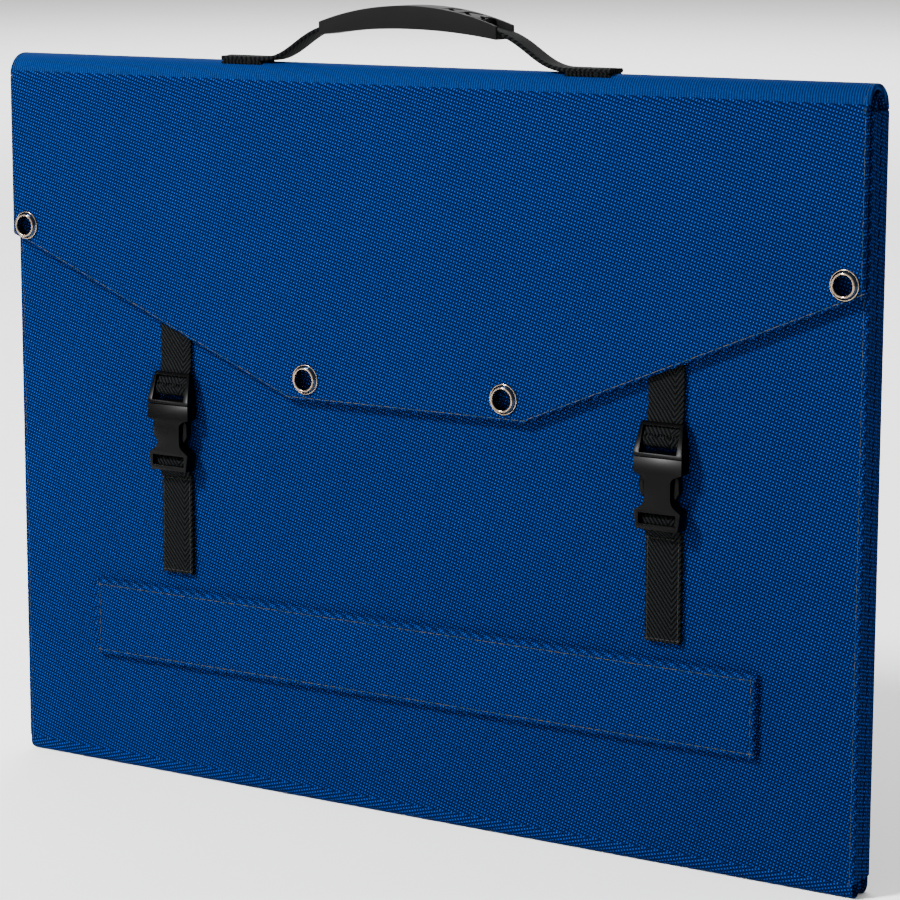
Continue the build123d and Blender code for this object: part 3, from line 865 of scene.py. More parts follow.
def band_section(width: float, thickness: float, groove: float = 0.0,
                 groove_depth: float = 0.0, steps: int = 4) -> list[Point]:
    """Draw the cross-section of cloth or webbing, with round edges.

    Args:
        width: the band's width.
        thickness: its thickness.
        groove: how far a stitch groove lies from each edge, or 0 for none.
        groove_depth: the groove's depth.
        steps: faces round each edge.

    Returns:
        Points across the band and out from its middle surface.
    """
    half, round_edge, groove_half = width / 2, thickness / 2, 0.7
    outer = [(half - round_edge, round_edge)]
    if groove:
        outer += [(half - groove + offset, round_edge - depth) for offset, depth in
                  ((groove_half, 0.0), (0.0, groove_depth), (-groove_half, 0.0))]
    outer += [(-p[0], p[1]) for p in reversed(outer)]
    end = [(-half + round_edge - round_edge * math.sin(math.pi * s / steps),
            round_edge * math.cos(math.pi * s / steps)) for s in range(1, steps)]
    inner = [(-half + round_edge, -round_edge), (half - round_edge, -round_edge)]
    return outer + end + inner + [(-p[0], p[1]) for p in reversed(end)]


def sweep(name: str, path: Sequence[Vector], section: Sequence[Point],
          lift: Callable[[float, float, float], Vector], start: float = 0.0,
          ribbed: Optional[Callable[[Vector], bool]] = None, grain: int = 1) -> bpy.types.Object:
    """Sweep a band's cross-section along a flat path.

    Args:
        name: the object's name.
        path: the flat path of the band's middle.
        section: points across the band and out from its middle surface.
        lift: turns path place and place across into a point in the shared frame.
        start: the weave's place along the band at the path's start.
        ribbed: says where the fabric shows its ribbed side.
        grain: 1 where the weave runs along the path, -1 where it runs against it.

    Returns:
        The band, with the weave laid along it.
    """
    points, along, across, marks = [], [], [], []
    travelled = start
    for place, spot in enumerate(path):
        before, after = path[max(place - 1, 0)], path[min(place + 1, len(path) - 1)]
        run = (after - before).normalized()
        out = Vector((-run.y, run.x))
        if place:
            travelled += (spot - path[place - 1]).length
        for side, height in section:
            flat = spot + out * height
            points.append(lift(flat.x, flat.y, side))
            along.append(travelled)
            across.append(side)
            marks.append(float(bool(ribbed and ribbed(spot))))
    mesh = bpy.data.meshes.new(name)
    mesh.from_pydata([p * MM for p in points], [], ring_faces(len(path), len(section)))
    layer = mesh.uv_layers.new(name=WEAVE_MAP)
    for loop in mesh.loops:
        layer.data[loop.index].uv = (across[loop.vertex_index] * MM,
                                     grain * along[loop.vertex_index] * MM)
    if ribbed:
        stored = mesh.attributes.new(RIBBED, "FLOAT", "POINT")
        stored.data.foreach_set("value", marks)
    close_mesh(mesh)
    made = show(name, mesh)
    finish_mesh(made, 50.0)
    return made


def across_pack(middle: float = 0.0) -> Callable[[float, float, float], Vector]:
    """Lift a path in Y and Z, for a band that runs across X with its middle at middle."""
    return lambda y, z, side: Vector((middle + side, y, z))


def lathe(name: str, profile: Sequence[Point], x: float, z: float,
          segments: int = 48) -> bpy.types.Object:
    """Turn a closed profile about an axis along Y.

    Args:
        name: the object's name.
        profile: radius and depth Y of each point.
        x: the axis's place across.
        z: the axis's height.
        segments: faces round the axis.

    Returns:
        The turned piece.
    """
    angles = (2 * math.pi * turn / segments for turn in range(segments))
    points = [Vector((x + r * math.cos(angle), y, z + r * math.sin(angle)))
              for angle in angles for r, y in profile]
    return make_object(name, points, ring_faces(segments, len(profile), joined=True), 35.0)


def soft_copy(node: str, name: str, bevel: float, segments: int = 3,
              sharp: float = 35.0) -> bpy.types.Object:
    """Copy a CAD node's mesh, merge it and round its edges.

    Args:
        node: the CAD node.
        name: the new piece's name.
        bevel: width of the rounding, in millimetres.
        segments: faces across the rounding.
        sharp: edges that turn by more than this many degrees are rounded.

    Returns:
        The rounded copy.
    """
    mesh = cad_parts[node].data.copy()
    mesh.name = name
    for layer in list(mesh.uv_layers):
        mesh.uv_layers.remove(layer)
    close_mesh(mesh, merge=1e-6, flatten=0.5)
    made = show(name, mesh)
    edge = made.modifiers.new("edge", "BEVEL")
    edge.width = bevel * MM
    edge.segments = segments
    edge.limit_method = "ANGLE"
    edge.angle_limit = math.radians(sharp)
    edge.harden_normals = False
    return settle(made, 60.0)


def carve(made: bpy.types.Object, cutter: bpy.types.Object,
          sharp: float = 40.0) -> bpy.types.Object:
    """Cut one closed piece out of another.

    Args:
        made: the piece that is cut.
        cutter: the piece that cuts it, removed afterwards.
        sharp: edges that turn by more than this many degrees stay sharp.

    Returns:
        The cut piece.
    """
    cut = made.modifiers.new("cut", "BOOLEAN")
    cut.operation = "DIFFERENCE"
    cut.solver = "EXACT"
    cut.object = cutter
    settle(made, sharp)
    bpy.data.objects.remove(cutter)
    return made


def join(name: str, parts: Sequence[bpy.types.Object]) -> bpy.types.Object:
    """Join pieces into one object that holds them as separate shells.

    Args:
        name: the new object's name.
        parts: the pieces, removed afterwards.

    Returns:
        The joined object.
    """
    shape = bmesh.new()
    for part in parts:
        shape.from_mesh(part.data)
    mesh = bpy.data.meshes.new(name)
    shape.to_mesh(mesh)
    shape.free()
    for part in parts:
        bpy.data.objects.remove(part)
    made = show(name, mesh)
    finish_mesh(made, 40.0)
    return made


# ---------------------------------------------------------------------------
# Geometry Nodes: rows of stitches, teeth and ribs
# ---------------------------------------------------------------------------
class RowKind(Enum):
    """What a row repeats: its size along the row, across it and out of it, in millimetres."""

    STITCH = (4.8, 0.42, 0.3)
    STRAP_STITCH = (2.6, 0.42, 0.3)
    TOOTH = (1.25, 1.9, 1.1)
    RIB = (0.7, 2.4, 0.8)


@dataclass
class Row:
    """Pieces repeated along lines by Geometry Nodes."""

    name: str
    kind: RowKind
    pitch: float
    stock: Stock
    stagger: float = 0.0
    seed: int = 7
    facing: tuple[float, float, float] = (0.0, 1.0, 0.0)
    facing_axis: str = "Y"
    lines: list[Line] = field(default_factory=list)

    def tree(self) -> bpy.types.GeometryNodeTree:
        """Make the node tree, with the row's sizes as named inputs.

        Returns:
            The tree, which ends in Realize Instances and Set Material.
        """
        tree = bpy.data.node_groups.new(self.name + "_row", "GeometryNodeTree")
        face = tree.interface
        face.new_socket("Geometry", in_out="INPUT", socket_type="NodeSocketGeometry")
        for label in ("Pitch", "Long", "Wide", "High", "Stagger"):
            face.new_socket(label, in_out="INPUT", socket_type="NodeSocketFloat")
        face.new_socket("Facing", in_out="INPUT", socket_type="NodeSocketVector")
        face.new_socket("Geometry", in_out="OUTPUT", socket_type="NodeSocketGeometry")

        add = partial(add_node, tree)
        start = add("NodeGroupInput")
        spaced = add("GeometryNodeResampleCurve", {"mode": "LENGTH"},
                     {"Curve": start.outputs["Geometry"], "Length": start.outputs["Pitch"]})
        if self.kind in (RowKind.TOOTH, RowKind.RIB):
            unit = add("GeometryNodeMeshCube", None, {"Size": (1.0, 1.0, 1.0)})
        else:
            unit = add("GeometryNodeMeshUVSphere", None,
                       {"Segments": 6, "Rings": 4, "Radius": 0.5})
        size = add("ShaderNodeCombineXYZ", None,
                   {0: start.outputs["Wide"], 1: start.outputs["High"], 2: start.outputs["Long"]})
        shaped = add("GeometryNodeTransform", None,
                     {"Geometry": unit.outputs["Mesh"], "Scale": size.outputs[0]})
        tangent = add("GeometryNodeInputTangent")
        aligned = add("FunctionNodeAxesToRotation",
                      {"primary_axis": "Z", "secondary_axis": self.facing_axis},
                      {0: tangent.outputs[0], 1: start.outputs["Facing"]})
        placed = add("GeometryNodeInstanceOnPoints", None,
                     {"Points": spaced.outputs[0], "Instance": shaped.outputs[0],
                      "Rotation": aligned.outputs[0]})
        index = add("GeometryNodeInputIndex")
        parity = add("ShaderNodeMath", {"operation": "PINGPONG"}, {0: index.outputs[0], 1: 1.0})
        centred = add("ShaderNodeMath", {"operation": "SUBTRACT"}, {0: parity.outputs[0], 1: 0.5})
        side = add("ShaderNodeMath", {"operation": "MULTIPLY"},
                   {0: centred.outputs[0], 1: start.outputs["Stagger"]})
        shift = add("ShaderNodeCombineXYZ", None, {0: side.outputs[0]})
        moved = add("GeometryNodeTranslateInstances", {}, {
            "Instances": placed.outputs[0], "Translation": shift.outputs[0], "Local Space": True})
        chance = add("FunctionNodeRandomValue", {"data_type": "FLOAT"},
                     {2: 0.0, 3: 1.0, "Seed": self.seed})
        stored = add("GeometryNodeStoreNamedAttribute",
                     {"data_type": "FLOAT", "domain": "INSTANCE"},
                     {"Geometry": moved.outputs[0], "Name": SHADE, "Value": chance.outputs[1]})
        real = add("GeometryNodeRealizeInstances", None, {"Geometry": stored.outputs[0]})
        painted = add("GeometryNodeSetMaterial", None,
                      {"Geometry": real.outputs[0], "Material": STORE.material(self.stock)})
        add("NodeGroupOutput", None, {"Geometry": painted.outputs[0]})
        return tree

    def build(self, body: Optional[str]) -> bpy.types.Object:
        """Make the row a plain mesh on a body.

        Args:
            body: the CAD body that it rides on, or None to leave it unattached.

        Returns:
            The finished row.
        """
        curve = bpy.data.curves.new(self.name + "_line", "CURVE")
        curve.dimensions = "3D"
        for line in self.lines:
            spline = curve.splines.new("POLY")
            spline.points.add(len(line) - 1)
            for spot, p in zip(spline.points, line):
                spot.co = (*(p * MM), 1)
        holder = show(self.name + "_line", curve)
        tree = self.tree()
        row = holder.modifiers.new("row", "NODES")
        row.node_group = tree
        long, wide, high = self.kind.value
        sizes = {"Pitch": self.pitch * MM, "Long": long * MM, "Wide": wide * MM,
                 "High": high * MM, "Stagger": self.stagger * MM, "Facing": self.facing}
        for item in tree.interface.items_tree:
            if item.in_out == "INPUT" and item.name in sizes:
                row[item.identifier] = sizes[item.name]
        graph = bpy.context.evaluated_depsgraph_get()
        mesh = bpy.data.meshes.new_from_object(holder.evaluated_get(graph))
        made = show(self.name, mesh)
        bpy.data.objects.remove(holder)
        finish_mesh(made, 50.0)
        if body:
            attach(made, body)
        return made


# ---------------------------------------------------------------------------
# The folding cover and what it holds
# ---------------------------------------------------------------------------
@dataclass
class Panel:
    """One stiff panel: its fabric tray and, in it, board, laminate and cells."""

    number: int
    body: str
    cells_look: int
    joined_top: bool
    lip: float = 9.0
    wall: float = 1.5
    cloth: float = 0.9
    film_level: float = 4.1
    stitch_inset: float = 2.7
    overlap: float = 1.0
    round_back: float = 1.2
    round_lip: float = 0.35
    groove: Sequence[Point] = ((1.1, 0.0), (0.4, 0.06), (0.0, 0.22), (-0.4, 0.06))
    lip_stitch_inset: float = 2.2

    def tray(self) -> bpy.types.Object:
        """Build the tray, rounded at its back and sewn along its sides.

        Returns:
            The closed tray, undressed.
        """
        low, high = self.corners()
        back = low.y if self.cells_look > 0 else high.y
        deep = high.y - low.y

        def at(level: float) -> float:
            """Depth Y of a level above the panel's back."""
            return back + self.cells_look * level

        outline = Layered(box_corners(low.x, high.x, low.z, high.z),
                          (True, False, self.joined_top, False), radius=1.6)
        round_back, round_lip = self.round_back, self.round_lip
        lip, wall = self.lip + self.overlap, self.wall + self.overlap
        levels = [(self.stitch_inset + inset, at(depth), True) for inset, depth in self.groove]
        for step in range(5):
            angle = math.radians(90 * step / 4)
            levels.append((round_back * (1 - math.sin(angle)),
                           at(round_back * (1 - math.cos(angle))), True))
        levels += [(0.0, at(deep - round_lip), True),
                   (round_lip * 0.3, at(deep - round_lip * 0.3), True),
                   (round_lip, at(deep), True), (lip - round_lip, at(deep), False),
                   (lip, at(deep - round_lip), False), (lip, at(self.film_level), False),
                   (wall, at(self.film_level), False), (wall, at(self.cloth), False)]
        return outline.skin(f"cover_{self.number}", levels)

    def corners(self) -> tuple[Vector, Vector]:
        """Find the tray's corners, with its sides brought flush with the arch's.

        Returns:
            The lowest and the highest corner.
        """
        low, high = millimetres(f"panel_{self.number}_cover")
        side = Vector((self.overlap, 0, 0))
        return low - side, high + side

    def stitches(self) -> bpy.types.Object:
        """Sew both sides of the tray's back, and round the window's lip.

        Returns:
            The stitches.
        """
        low, high = self.corners()
        back, front = (low.y, high.y) if self.cells_look > 0 else (high.y, low.y)
        row = Row(f"cover_{self.number}_stitches", RowKind.STITCH, STITCH_PITCH, Stock.THREAD,
                  seed=self.number)
        y = back + self.cells_look * 0.02
        for x in (low.x + self.stitch_inset, high.x - self.stitch_inset):
            row.lines.append([Vector((x, y, low.z + 1)), Vector((x, y, high.z - 1))])
        y = front - self.cells_look * 0.05
        inset = self.lip + self.overlap - self.lip_stitch_inset
        row.lines += box_lines(y, low.x + inset, high.x - inset, low.z + inset, high.z - inset)
        return row.build(self.body)

    def build(self) -> None:
        """Build and dress the whole panel."""
        name = f"panel_{self.number}"
        dress(self.tray(), Stock.FABRIC, self.body, [f"{name}_cover"])
        self.stitches()
        paint_node(f"{name}_board", Stock.BOARD)
        paint_node(f"{name}_laminate", Stock.FILM)
        paint_node(f"{name}_cells", Stock.CELL)


def paint_node(node: str, stock: Stock) -> None:
    """Give a CAD node, shown as it is, a better material.

    Args:
        node: the CAD node.
        stock: its finish.
    """
    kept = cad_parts[node]
    kept.data.materials.clear()
    kept.data.materials.append(STORE.material(stock))


@dataclass
class Fold:
    """A strip of cover fabric round the ends of two panels, with its two flat leads."""

    node: str
    near_body: str
    far_body: str
    upwards: bool
    thickness: float
    lead_thickness: float = 0.4
    lead_width: float = 14.0
    lead_x: float = 180.0

    def path(self, node: str, thickness: float) -> Line:
        """Follow the middle of a strip from its front end round to its rear end.

        Args:
            node: the CAD node that the strip fills.
            thickness: the strip's thickness.

        Returns:
            The path in Y and Z, as flat points.
        """
        low, high = millimetres(node)
        radius = (high.y - low.y - thickness) / 2
        middle = (high.y + low.y) / 2
        if self.upwards:
            centre, end = high.z - radius - thickness / 2, low.z
            arc = arc_path((middle, centre), radius, 180, 0, 24)
        else:
            centre, end = low.z + radius + thickness / 2, high.z
            arc = arc_path((middle, centre), radius, 180, 360, 24)
        legs = [Vector((middle - radius, end + (centre - end) * s / 3)) for s in range(3)]
        far = [Vector((middle + radius, end + (centre - end) * s / 3)) for s in (2, 1, 0)]
        return legs + arc + far

    def build(self) -> None:
        """Build the strip and its leads."""
        low, high = millimetres(self.node)
        width = high.x - low.x
        section = band_section(width, self.thickness, steps=6)
        path = self.path(self.node, self.thickness)
        outside = 1 if self.upwards else -1
        made = sweep(self.node + "_cloth", path, [(x, outside * h) for x, h in section],
                     across_pack())
        dress(made, Stock.FABRIC, replaces=[self.node])
        self.bend(made, self.node)
        self.leads()

    def bend(self, made: bpy.types.Object, node: str) -> None:
        """Bake a piece's placement into its mesh.

        Args:
            made: the piece.
            node: not used.
        """
        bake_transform(made)

    def leads(self) -> None:
        """Build the two flat leads under the strip."""
        node = self.node + "_leads"
        path = self.path(node, self.lead_thickness)
        section = band_section(self.lead_width, self.lead_thickness, steps=4)
        parts = [sweep(f"{node}_{x:.0f}", path, section, across_pack(x))
                 for x in (-self.lead_x, self.lead_x)]
        made = join(node + "_pair", parts)
        dress(made, Stock.LEAD, replaces=[node])
        self.bend(made, node)


@dataclass
class Spine:
    """The arch of cover fabric over the pack, sewn along both edges."""

    body: str = "rear_panel"
    thickness: float = 3.0
    stitch_inset: float = 2.6
    groove: float = 0.25
    ribs_from: float = 411.0

    def build(self) -> None:
        """Build the arch and its stitches."""
        low, high = millimetres("spine")
        radius = (high.y - low.y) / 2
        centre = (low.y + radius, high.z - radius)
        middle_radius = radius - self.thickness / 2
        arc = arc_path(centre, middle_radius, 180, 0, 48)
        path = arc + [Vector((centre[0] + middle_radius, low.z))]
        section = band_section(high.x - low.x, self.thickness, self.stitch_inset, self.groove, 6)
        made = sweep("spine_cloth", path, section, across_pack(), start=centre[1],
                     ribbed=lambda spot: spot.y > self.ribs_from - self.thickness / 2)
        dress(made, Stock.FABRIC, self.body, ["spine"])
        row = Row("spine_stitches", RowKind.STITCH, STITCH_PITCH, Stock.THREAD, seed=11,
                  facing=(1.0, 0.0, 0.0), facing_axis="X")
        outside = arc_path(centre, radius - 0.1, 180, 0, 48)
        for x in (low.x + self.stitch_inset, high.x - self.stitch_inset):
            row.lines.append([Vector((x, p.x, p.y)) for p in outside])
        row.build(self.body)


@dataclass
class Flap:
    """The pointed flap with its stitched edge and four eyelets."""

    body: str = "flap"
    corner_height: float = 314.1
    point_height: float = 232.4
    point_x: float = 76.4
    edge_slope: float = 22.6
    stitch_inset: float = 1.6
    groove: Sequence[Point] = ((-0.2, 0.07), (0.1, 0.28), (0.6, 0.08), (1.4, 0.0))
    eyelets: Sequence[tuple[float, float, float]] = (
        (262.3, 319.6, 5.3), (64.4, 244.6, 5.7))
    tube_wall: float = 0.6
    clearance: float = 0.1
    lip_roll: float = 0.65
    flange: float = 2.2
    flange_depth: float = 0.6
    dome_rise: float = 0.8

    def all_eyelets(self) -> list[tuple[float, float, float]]:
        """Place and bore of the four eyelets."""
        return [(hand * x, z, bore) for x, z, bore in self.eyelets for hand in (-1, 1)]

    def cloth(self) -> bpy.types.Object:
        """Build the flap and punch its holes.

        Returns:
            The flap's cloth, undressed.
        """
        low, high = millimetres("flap")
        half, seam = high.x, high.z + 0.15
        corners = [(-half, self.corner_height), (-self.point_x, self.point_height),
                   (self.point_x, self.point_height), (half, self.corner_height),
                   (half, seam), (-half, seam)]
        outline = Layered(corners, (False, False, False, False, True, False), radius=1.8)
        depth = high.y - low.y
        levels = [(depth / 2, high.y, True)]
        for step in range(1, 9):
            angle = math.radians(180 * step / 8)
            levels.append((depth / 2 * (1 - math.sin(angle)),
                           (high.y + low.y) / 2 + depth / 2 * math.cos(angle), True))
        levels[-1] = (depth / 2 - 0.5, low.y, True)
        levels += [(self.stitch_inset + inset, low.y + sunk, True) for inset, sunk in self.groove]
        made = outline.skin("flap_cloth", levels)
        for x, z, bore in self.all_eyelets():
            radius = bore + self.tube_wall + self.clearance
            carve(made, lathe("punch", [(0.001, low.y - 2), (radius, low.y - 2),
                                        (radius, high.y + 2), (0.001, high.y + 2)], x, z, 40))
        return made

    def eyelet(self, x: float, z: float, bore: float) -> bpy.types.Object:
        """Turn one eyelet: tube, rear flange and a lip rolled over the washer's crown.

        Args:
            x: the eyelet's place across.
            z: its height.
            bore: its bore's radius.

        Returns:
            The eyelet.
        """
        low, high = millimetres("flap")
        tube, crown = bore + self.tube_wall, low.y - self.flange_depth - self.dome_rise
        rear, rim, roll = high.y + self.flange_depth, tube + self.flange, self.lip_roll
        profile = [(bore, rear - 0.25), (bore, crown - roll),
                   *map(tuple, arc_path((bore + roll, crown - roll), roll, 200, 410, 12))]
        profile += [(tube, crown + 0.15), (tube, high.y), (rim - 0.1, high.y),
                    (rim, high.y + 0.12), (rim, rear - 0.15), (rim - 0.2, rear),
                    (bore + 0.25, rear)]
        return lathe("eyelet", profile, x, z)

    def rim(self, x: float, z: float, bore: float) -> bpy.types.Object:
        """Turn the beaded rim of one washer, placed as its eyelet is.

        Args:
            x: the eyelet's place across.
            z: its height.
            bore: its bore's radius.

        Returns:
            The rim.
        """
        low, _ = millimetres("flap")
        outer, bead = bore + self.tube_wall + self.flange, 0.4
        bead_line = arc_path((outer - bead, low.y - bead - 0.05), bead, 0, 330, 11)
        return lathe("rim", [tuple(p) for p in bead_line], x, z)

    def crown(self, x: float, z: float, bore: float) -> bpy.types.Object:
        """Turn the crown of one washer, which rises steeply to the eyelet's lip.

        Args:
            x: the eyelet's place across.
            z: its height.
            bore: its bore's radius.

        Returns:
            The crown.
        """
        low, _ = millimetres("flap")
        tube = bore + self.tube_wall
        inner, foot = tube + self.clearance, tube + self.flange - 0.75
        top = low.y - self.flange_depth - self.dome_rise
        profile = [(foot, low.y - 0.3), (foot - 0.25, low.y - 0.5), (inner + 0.4, top + 0.1),
                   (inner, top), (inner, top + 0.5), (foot - 0.4, low.y), (foot, low.y)]
        return lathe("crown", profile, x, z)

    def build(self) -> None:
        """Build the flap, its stitches and its eyelets."""
        made = dress(self.cloth(), Stock.FABRIC, self.body, ["flap"])
        places = self.all_eyelets()
        dress(join("eyelets", [self.eyelet(*p) for p in places]), Stock.NICKEL, self.body,
              ["eyelet_barrels"])
        dress(join("washer_rims", [self.rim(*p) for p in places]), Stock.NICKEL, self.body,
              ["eyelet_washers"])
        # The washer crowns get a finish whose dark blue colour is painted reflection of the fabric
        # and painted shade.
        dress(join("washer_crowns", [self.crown(*p) for p in places]), Stock.CROWN, self.body)
        low, high = millimetres("flap")
        half, y, inset = high.x - self.stitch_inset, low.y + 0.05, self.stitch_inset
        rise = inset * math.tan(math.radians(90 - self.edge_slope) / 2)
        shoulder, point = self.corner_height + rise, self.point_height + inset
        line = [Vector((x, y, z)) for x, z in (
            (-half, high.z), (-half, shoulder), (-self.point_x, point), (self.point_x, point),
            (half, shoulder), (half, high.z))]
        row = Row("flap_stitches", RowKind.STITCH, STITCH_PITCH, Stock.THREAD, seed=5)
        row.lines = [[start, end] for start, end in zip(line, line[1:])]
        row.build(self.body)


@dataclass
class Leg:
    """A support leg folded flat: sewn sleeve over a stiff board."""

    node: str
    body: str
    outwards: int
    stitch_inset: float = 3.2
    edge: float = 2.0
    groove: Sequence[Point] = ((-0.5, 0.25), (0.0, 0.5), (0.6, 0.25), (2.4, 0.0))
    stitch_depth: float = 0.25

    def build(self) -> None:
        """Build the sleeve and its stitches."""
        low, high = millimetres(self.node + "_sleeve")
        front, rear = (low.y, high.y) if self.outwards < 0 else (high.y, low.y)
        way = self.outwards
        outline = Layered(box_corners(low.x, high.x, low.z, high.z),
                          (False, False, False, True), radius=1.6)
        inset, edge, deep = self.stitch_inset, self.edge, abs(front - rear)
        levels = [(0.8, rear, True), (0.15, rear + way * 0.25, True)]
        for step in range(8):
            angle = math.radians(90 * step / 8)
            levels.append((edge * (1 - math.cos(angle)),
                           rear + way * (0.5 + (deep - 0.7) * math.sin(angle)), True))
        levels.append((edge + 0.3, front - way * 0.15, False))
        levels += [(inset + further, front - way * sunk, False) for further, sunk in self.groove]
        made = outline.skin(self.node + "_cloth", levels)
        dress(made, Stock.FABRIC, self.body, [self.node + "_sleeve"])
        paint_node(self.node + "_board", Stock.BOARD)
        row = Row(self.node + "_stitches", RowKind.STITCH, STITCH_PITCH, Stock.THREAD, seed=23)
        row.lines = box_lines(front - way * self.stitch_depth, low.x + inset, high.x - inset,
                              low.z + inset, high.z - inset)
        row.build(self.body)


# ---------------------------------------------------------------------------
# Closing straps and buckles
# ---------------------------------------------------------------------------
@dataclass
class Closure:
    """One closing strap with its side-release buckle."""

    side: str
    strap_x: float
    width: float = 21.4
    thickness: float = 1.4
    cover_y: float = -10.85
    hem: float = 123.0
    bend: float = 2.0
    anchor: Point = (-16.05, 189.6)
    anchor_turn: float = 2.15
    rear_ply_drops: Point = (5.2, 8.6)
    front_ply_drops: Point = (2.4, 9.6)
    box_drop: float = 10.9
    slide_bar: Point = (-16.05, 230.1)
    slide_turn: float = 1.95
    flap_stand_off: float = 5.9
    tail_rise: float = 5.1
    upper_rises: tuple[float, float, float] = (2.9, 9.1, 16.7)
    rib_pitch: float = 1.8
    rib_rise: float = 3.6
    rib_half: float = 9.0

    def lower_strap(self) -> None:
        """Webbing doubled round the socket's bar, its two plies box-stitched together."""
        inner = self.cover_y - self.thickness / 2 - 0.2
        outer = inner - self.thickness - 0.05
        y, z = self.anchor
        turn = self.anchor_turn
        near, far = self.rear_ply_drops
        rear = rounded_path([(inner, self.hem), (inner, z - far), (y + turn, z - near),
                             (y + turn, z)], self.bend)
        over = arc_path(self.anchor, turn, 0, 180, 10)
        near, far = self.front_ply_drops
        front = rounded_path([(y - turn, z), (y - turn, z - near), (outer, z - far),
                              (outer, self.hem)], self.bend)
        path = rear[:-1] + over + front[1:]
        section = [(side, -height) for side, height in band_section(self.width, self.thickness)]
        made = sweep(f"{self.side}_lower_webbing", path, section, across_pack(self.strap_x),
                     start=0.4, grain=-1)
        dress(made, Stock.WEBBING, "front_panel", [f"{self.side}_lower_strap"])
        self.box_stitch(outer - self.thickness / 2 - 0.06, self.hem + 1.5, z - self.box_drop)

    def box_stitch(self, y: float, low: float, high: float) -> None:
        """Sew a box of small stitches on the strap.

        Args:
            y: the stitches' depth.
            low: the box's lower side.
            high: its upper side.
        """
        half = self.width / 2 - 1.5
        row = Row(f"{self.side}_strap_stitches", RowKind.STRAP_STITCH, 2.7, Stock.STRAP_THREAD,
                  seed=31)
        row.lines = box_lines(y, self.strap_x - half, self.strap_x + half, low, high)
        row.build("front_panel")

    def upper_strap(self) -> None:
        """Webbing from under the flap, round the slide bar and back up as a short tail."""
        y, z = self.slide_bar
        turn = self.slide_turn
        top = millimetres(f"{self.side}_upper_strap")[1].z
        tuck = millimetres("flap")[1].y + 0.5 + self.thickness / 2
        bar_y = self.cover_y - self.flap_stand_off + 1.6 + self.thickness / 2 + 0.3
        tail = [Vector((y + turn, z + self.tail_rise)), Vector((y + turn, z))]
        round_bar = arc_path(self.slide_bar, turn, 0, -180, 10)
        leave, cross, reach = (z + rise for rise in self.upper_rises)
        rise = rounded_path([(y - turn, z), (y - turn, leave), (bar_y, cross),
                             (tuck, reach), (tuck, top)], 1.5)
        path = tail[:-1] + round_bar + rise[1:]
        section = [(x, -h) for x, h in band_section(self.width, self.thickness)]
        made = sweep(f"{self.side}_upper_webbing", path, section, across_pack(self.strap_x))
        dress(made, Stock.WEBBING, f"{self.side}_buckle", [f"{self.side}_upper_strap"])

    def ribs(self) -> None:
        """Grip ribs along the slide bar."""
        y, z = self.slide_bar
        row = Row(f"{self.side}_bar_ribs", RowKind.RIB, self.rib_pitch, Stock.WEBBING)
        front = y - self.slide_turn - self.thickness / 2 + 0.25
        row.lines = [[Vector((self.strap_x + way * self.rib_half, front, z + self.rib_rise))
                      for way in (-1, 1)]]
        row.build(f"{self.side}_buckle")

    def build(self) -> None:
        """Build the strap and the buckle."""
        self.lower_strap()
        self.upper_strap()
        self.ribs()
        buckle = f"{self.side}_buckle"
        for part, body, bevel in (("socket", "front_panel", 0.7), ("frame", buckle, 0.45),
                                  ("left_arm", f"{buckle}_left_arm", 0.4),
                                  ("right_arm", f"{buckle}_right_arm", 0.4)):
            made = soft_copy(f"{buckle}_{part}", f"{buckle}_{part}_moulding", bevel)
            dress(made, Stock.BUCKLE, body, [f"{buckle}_{part}"])


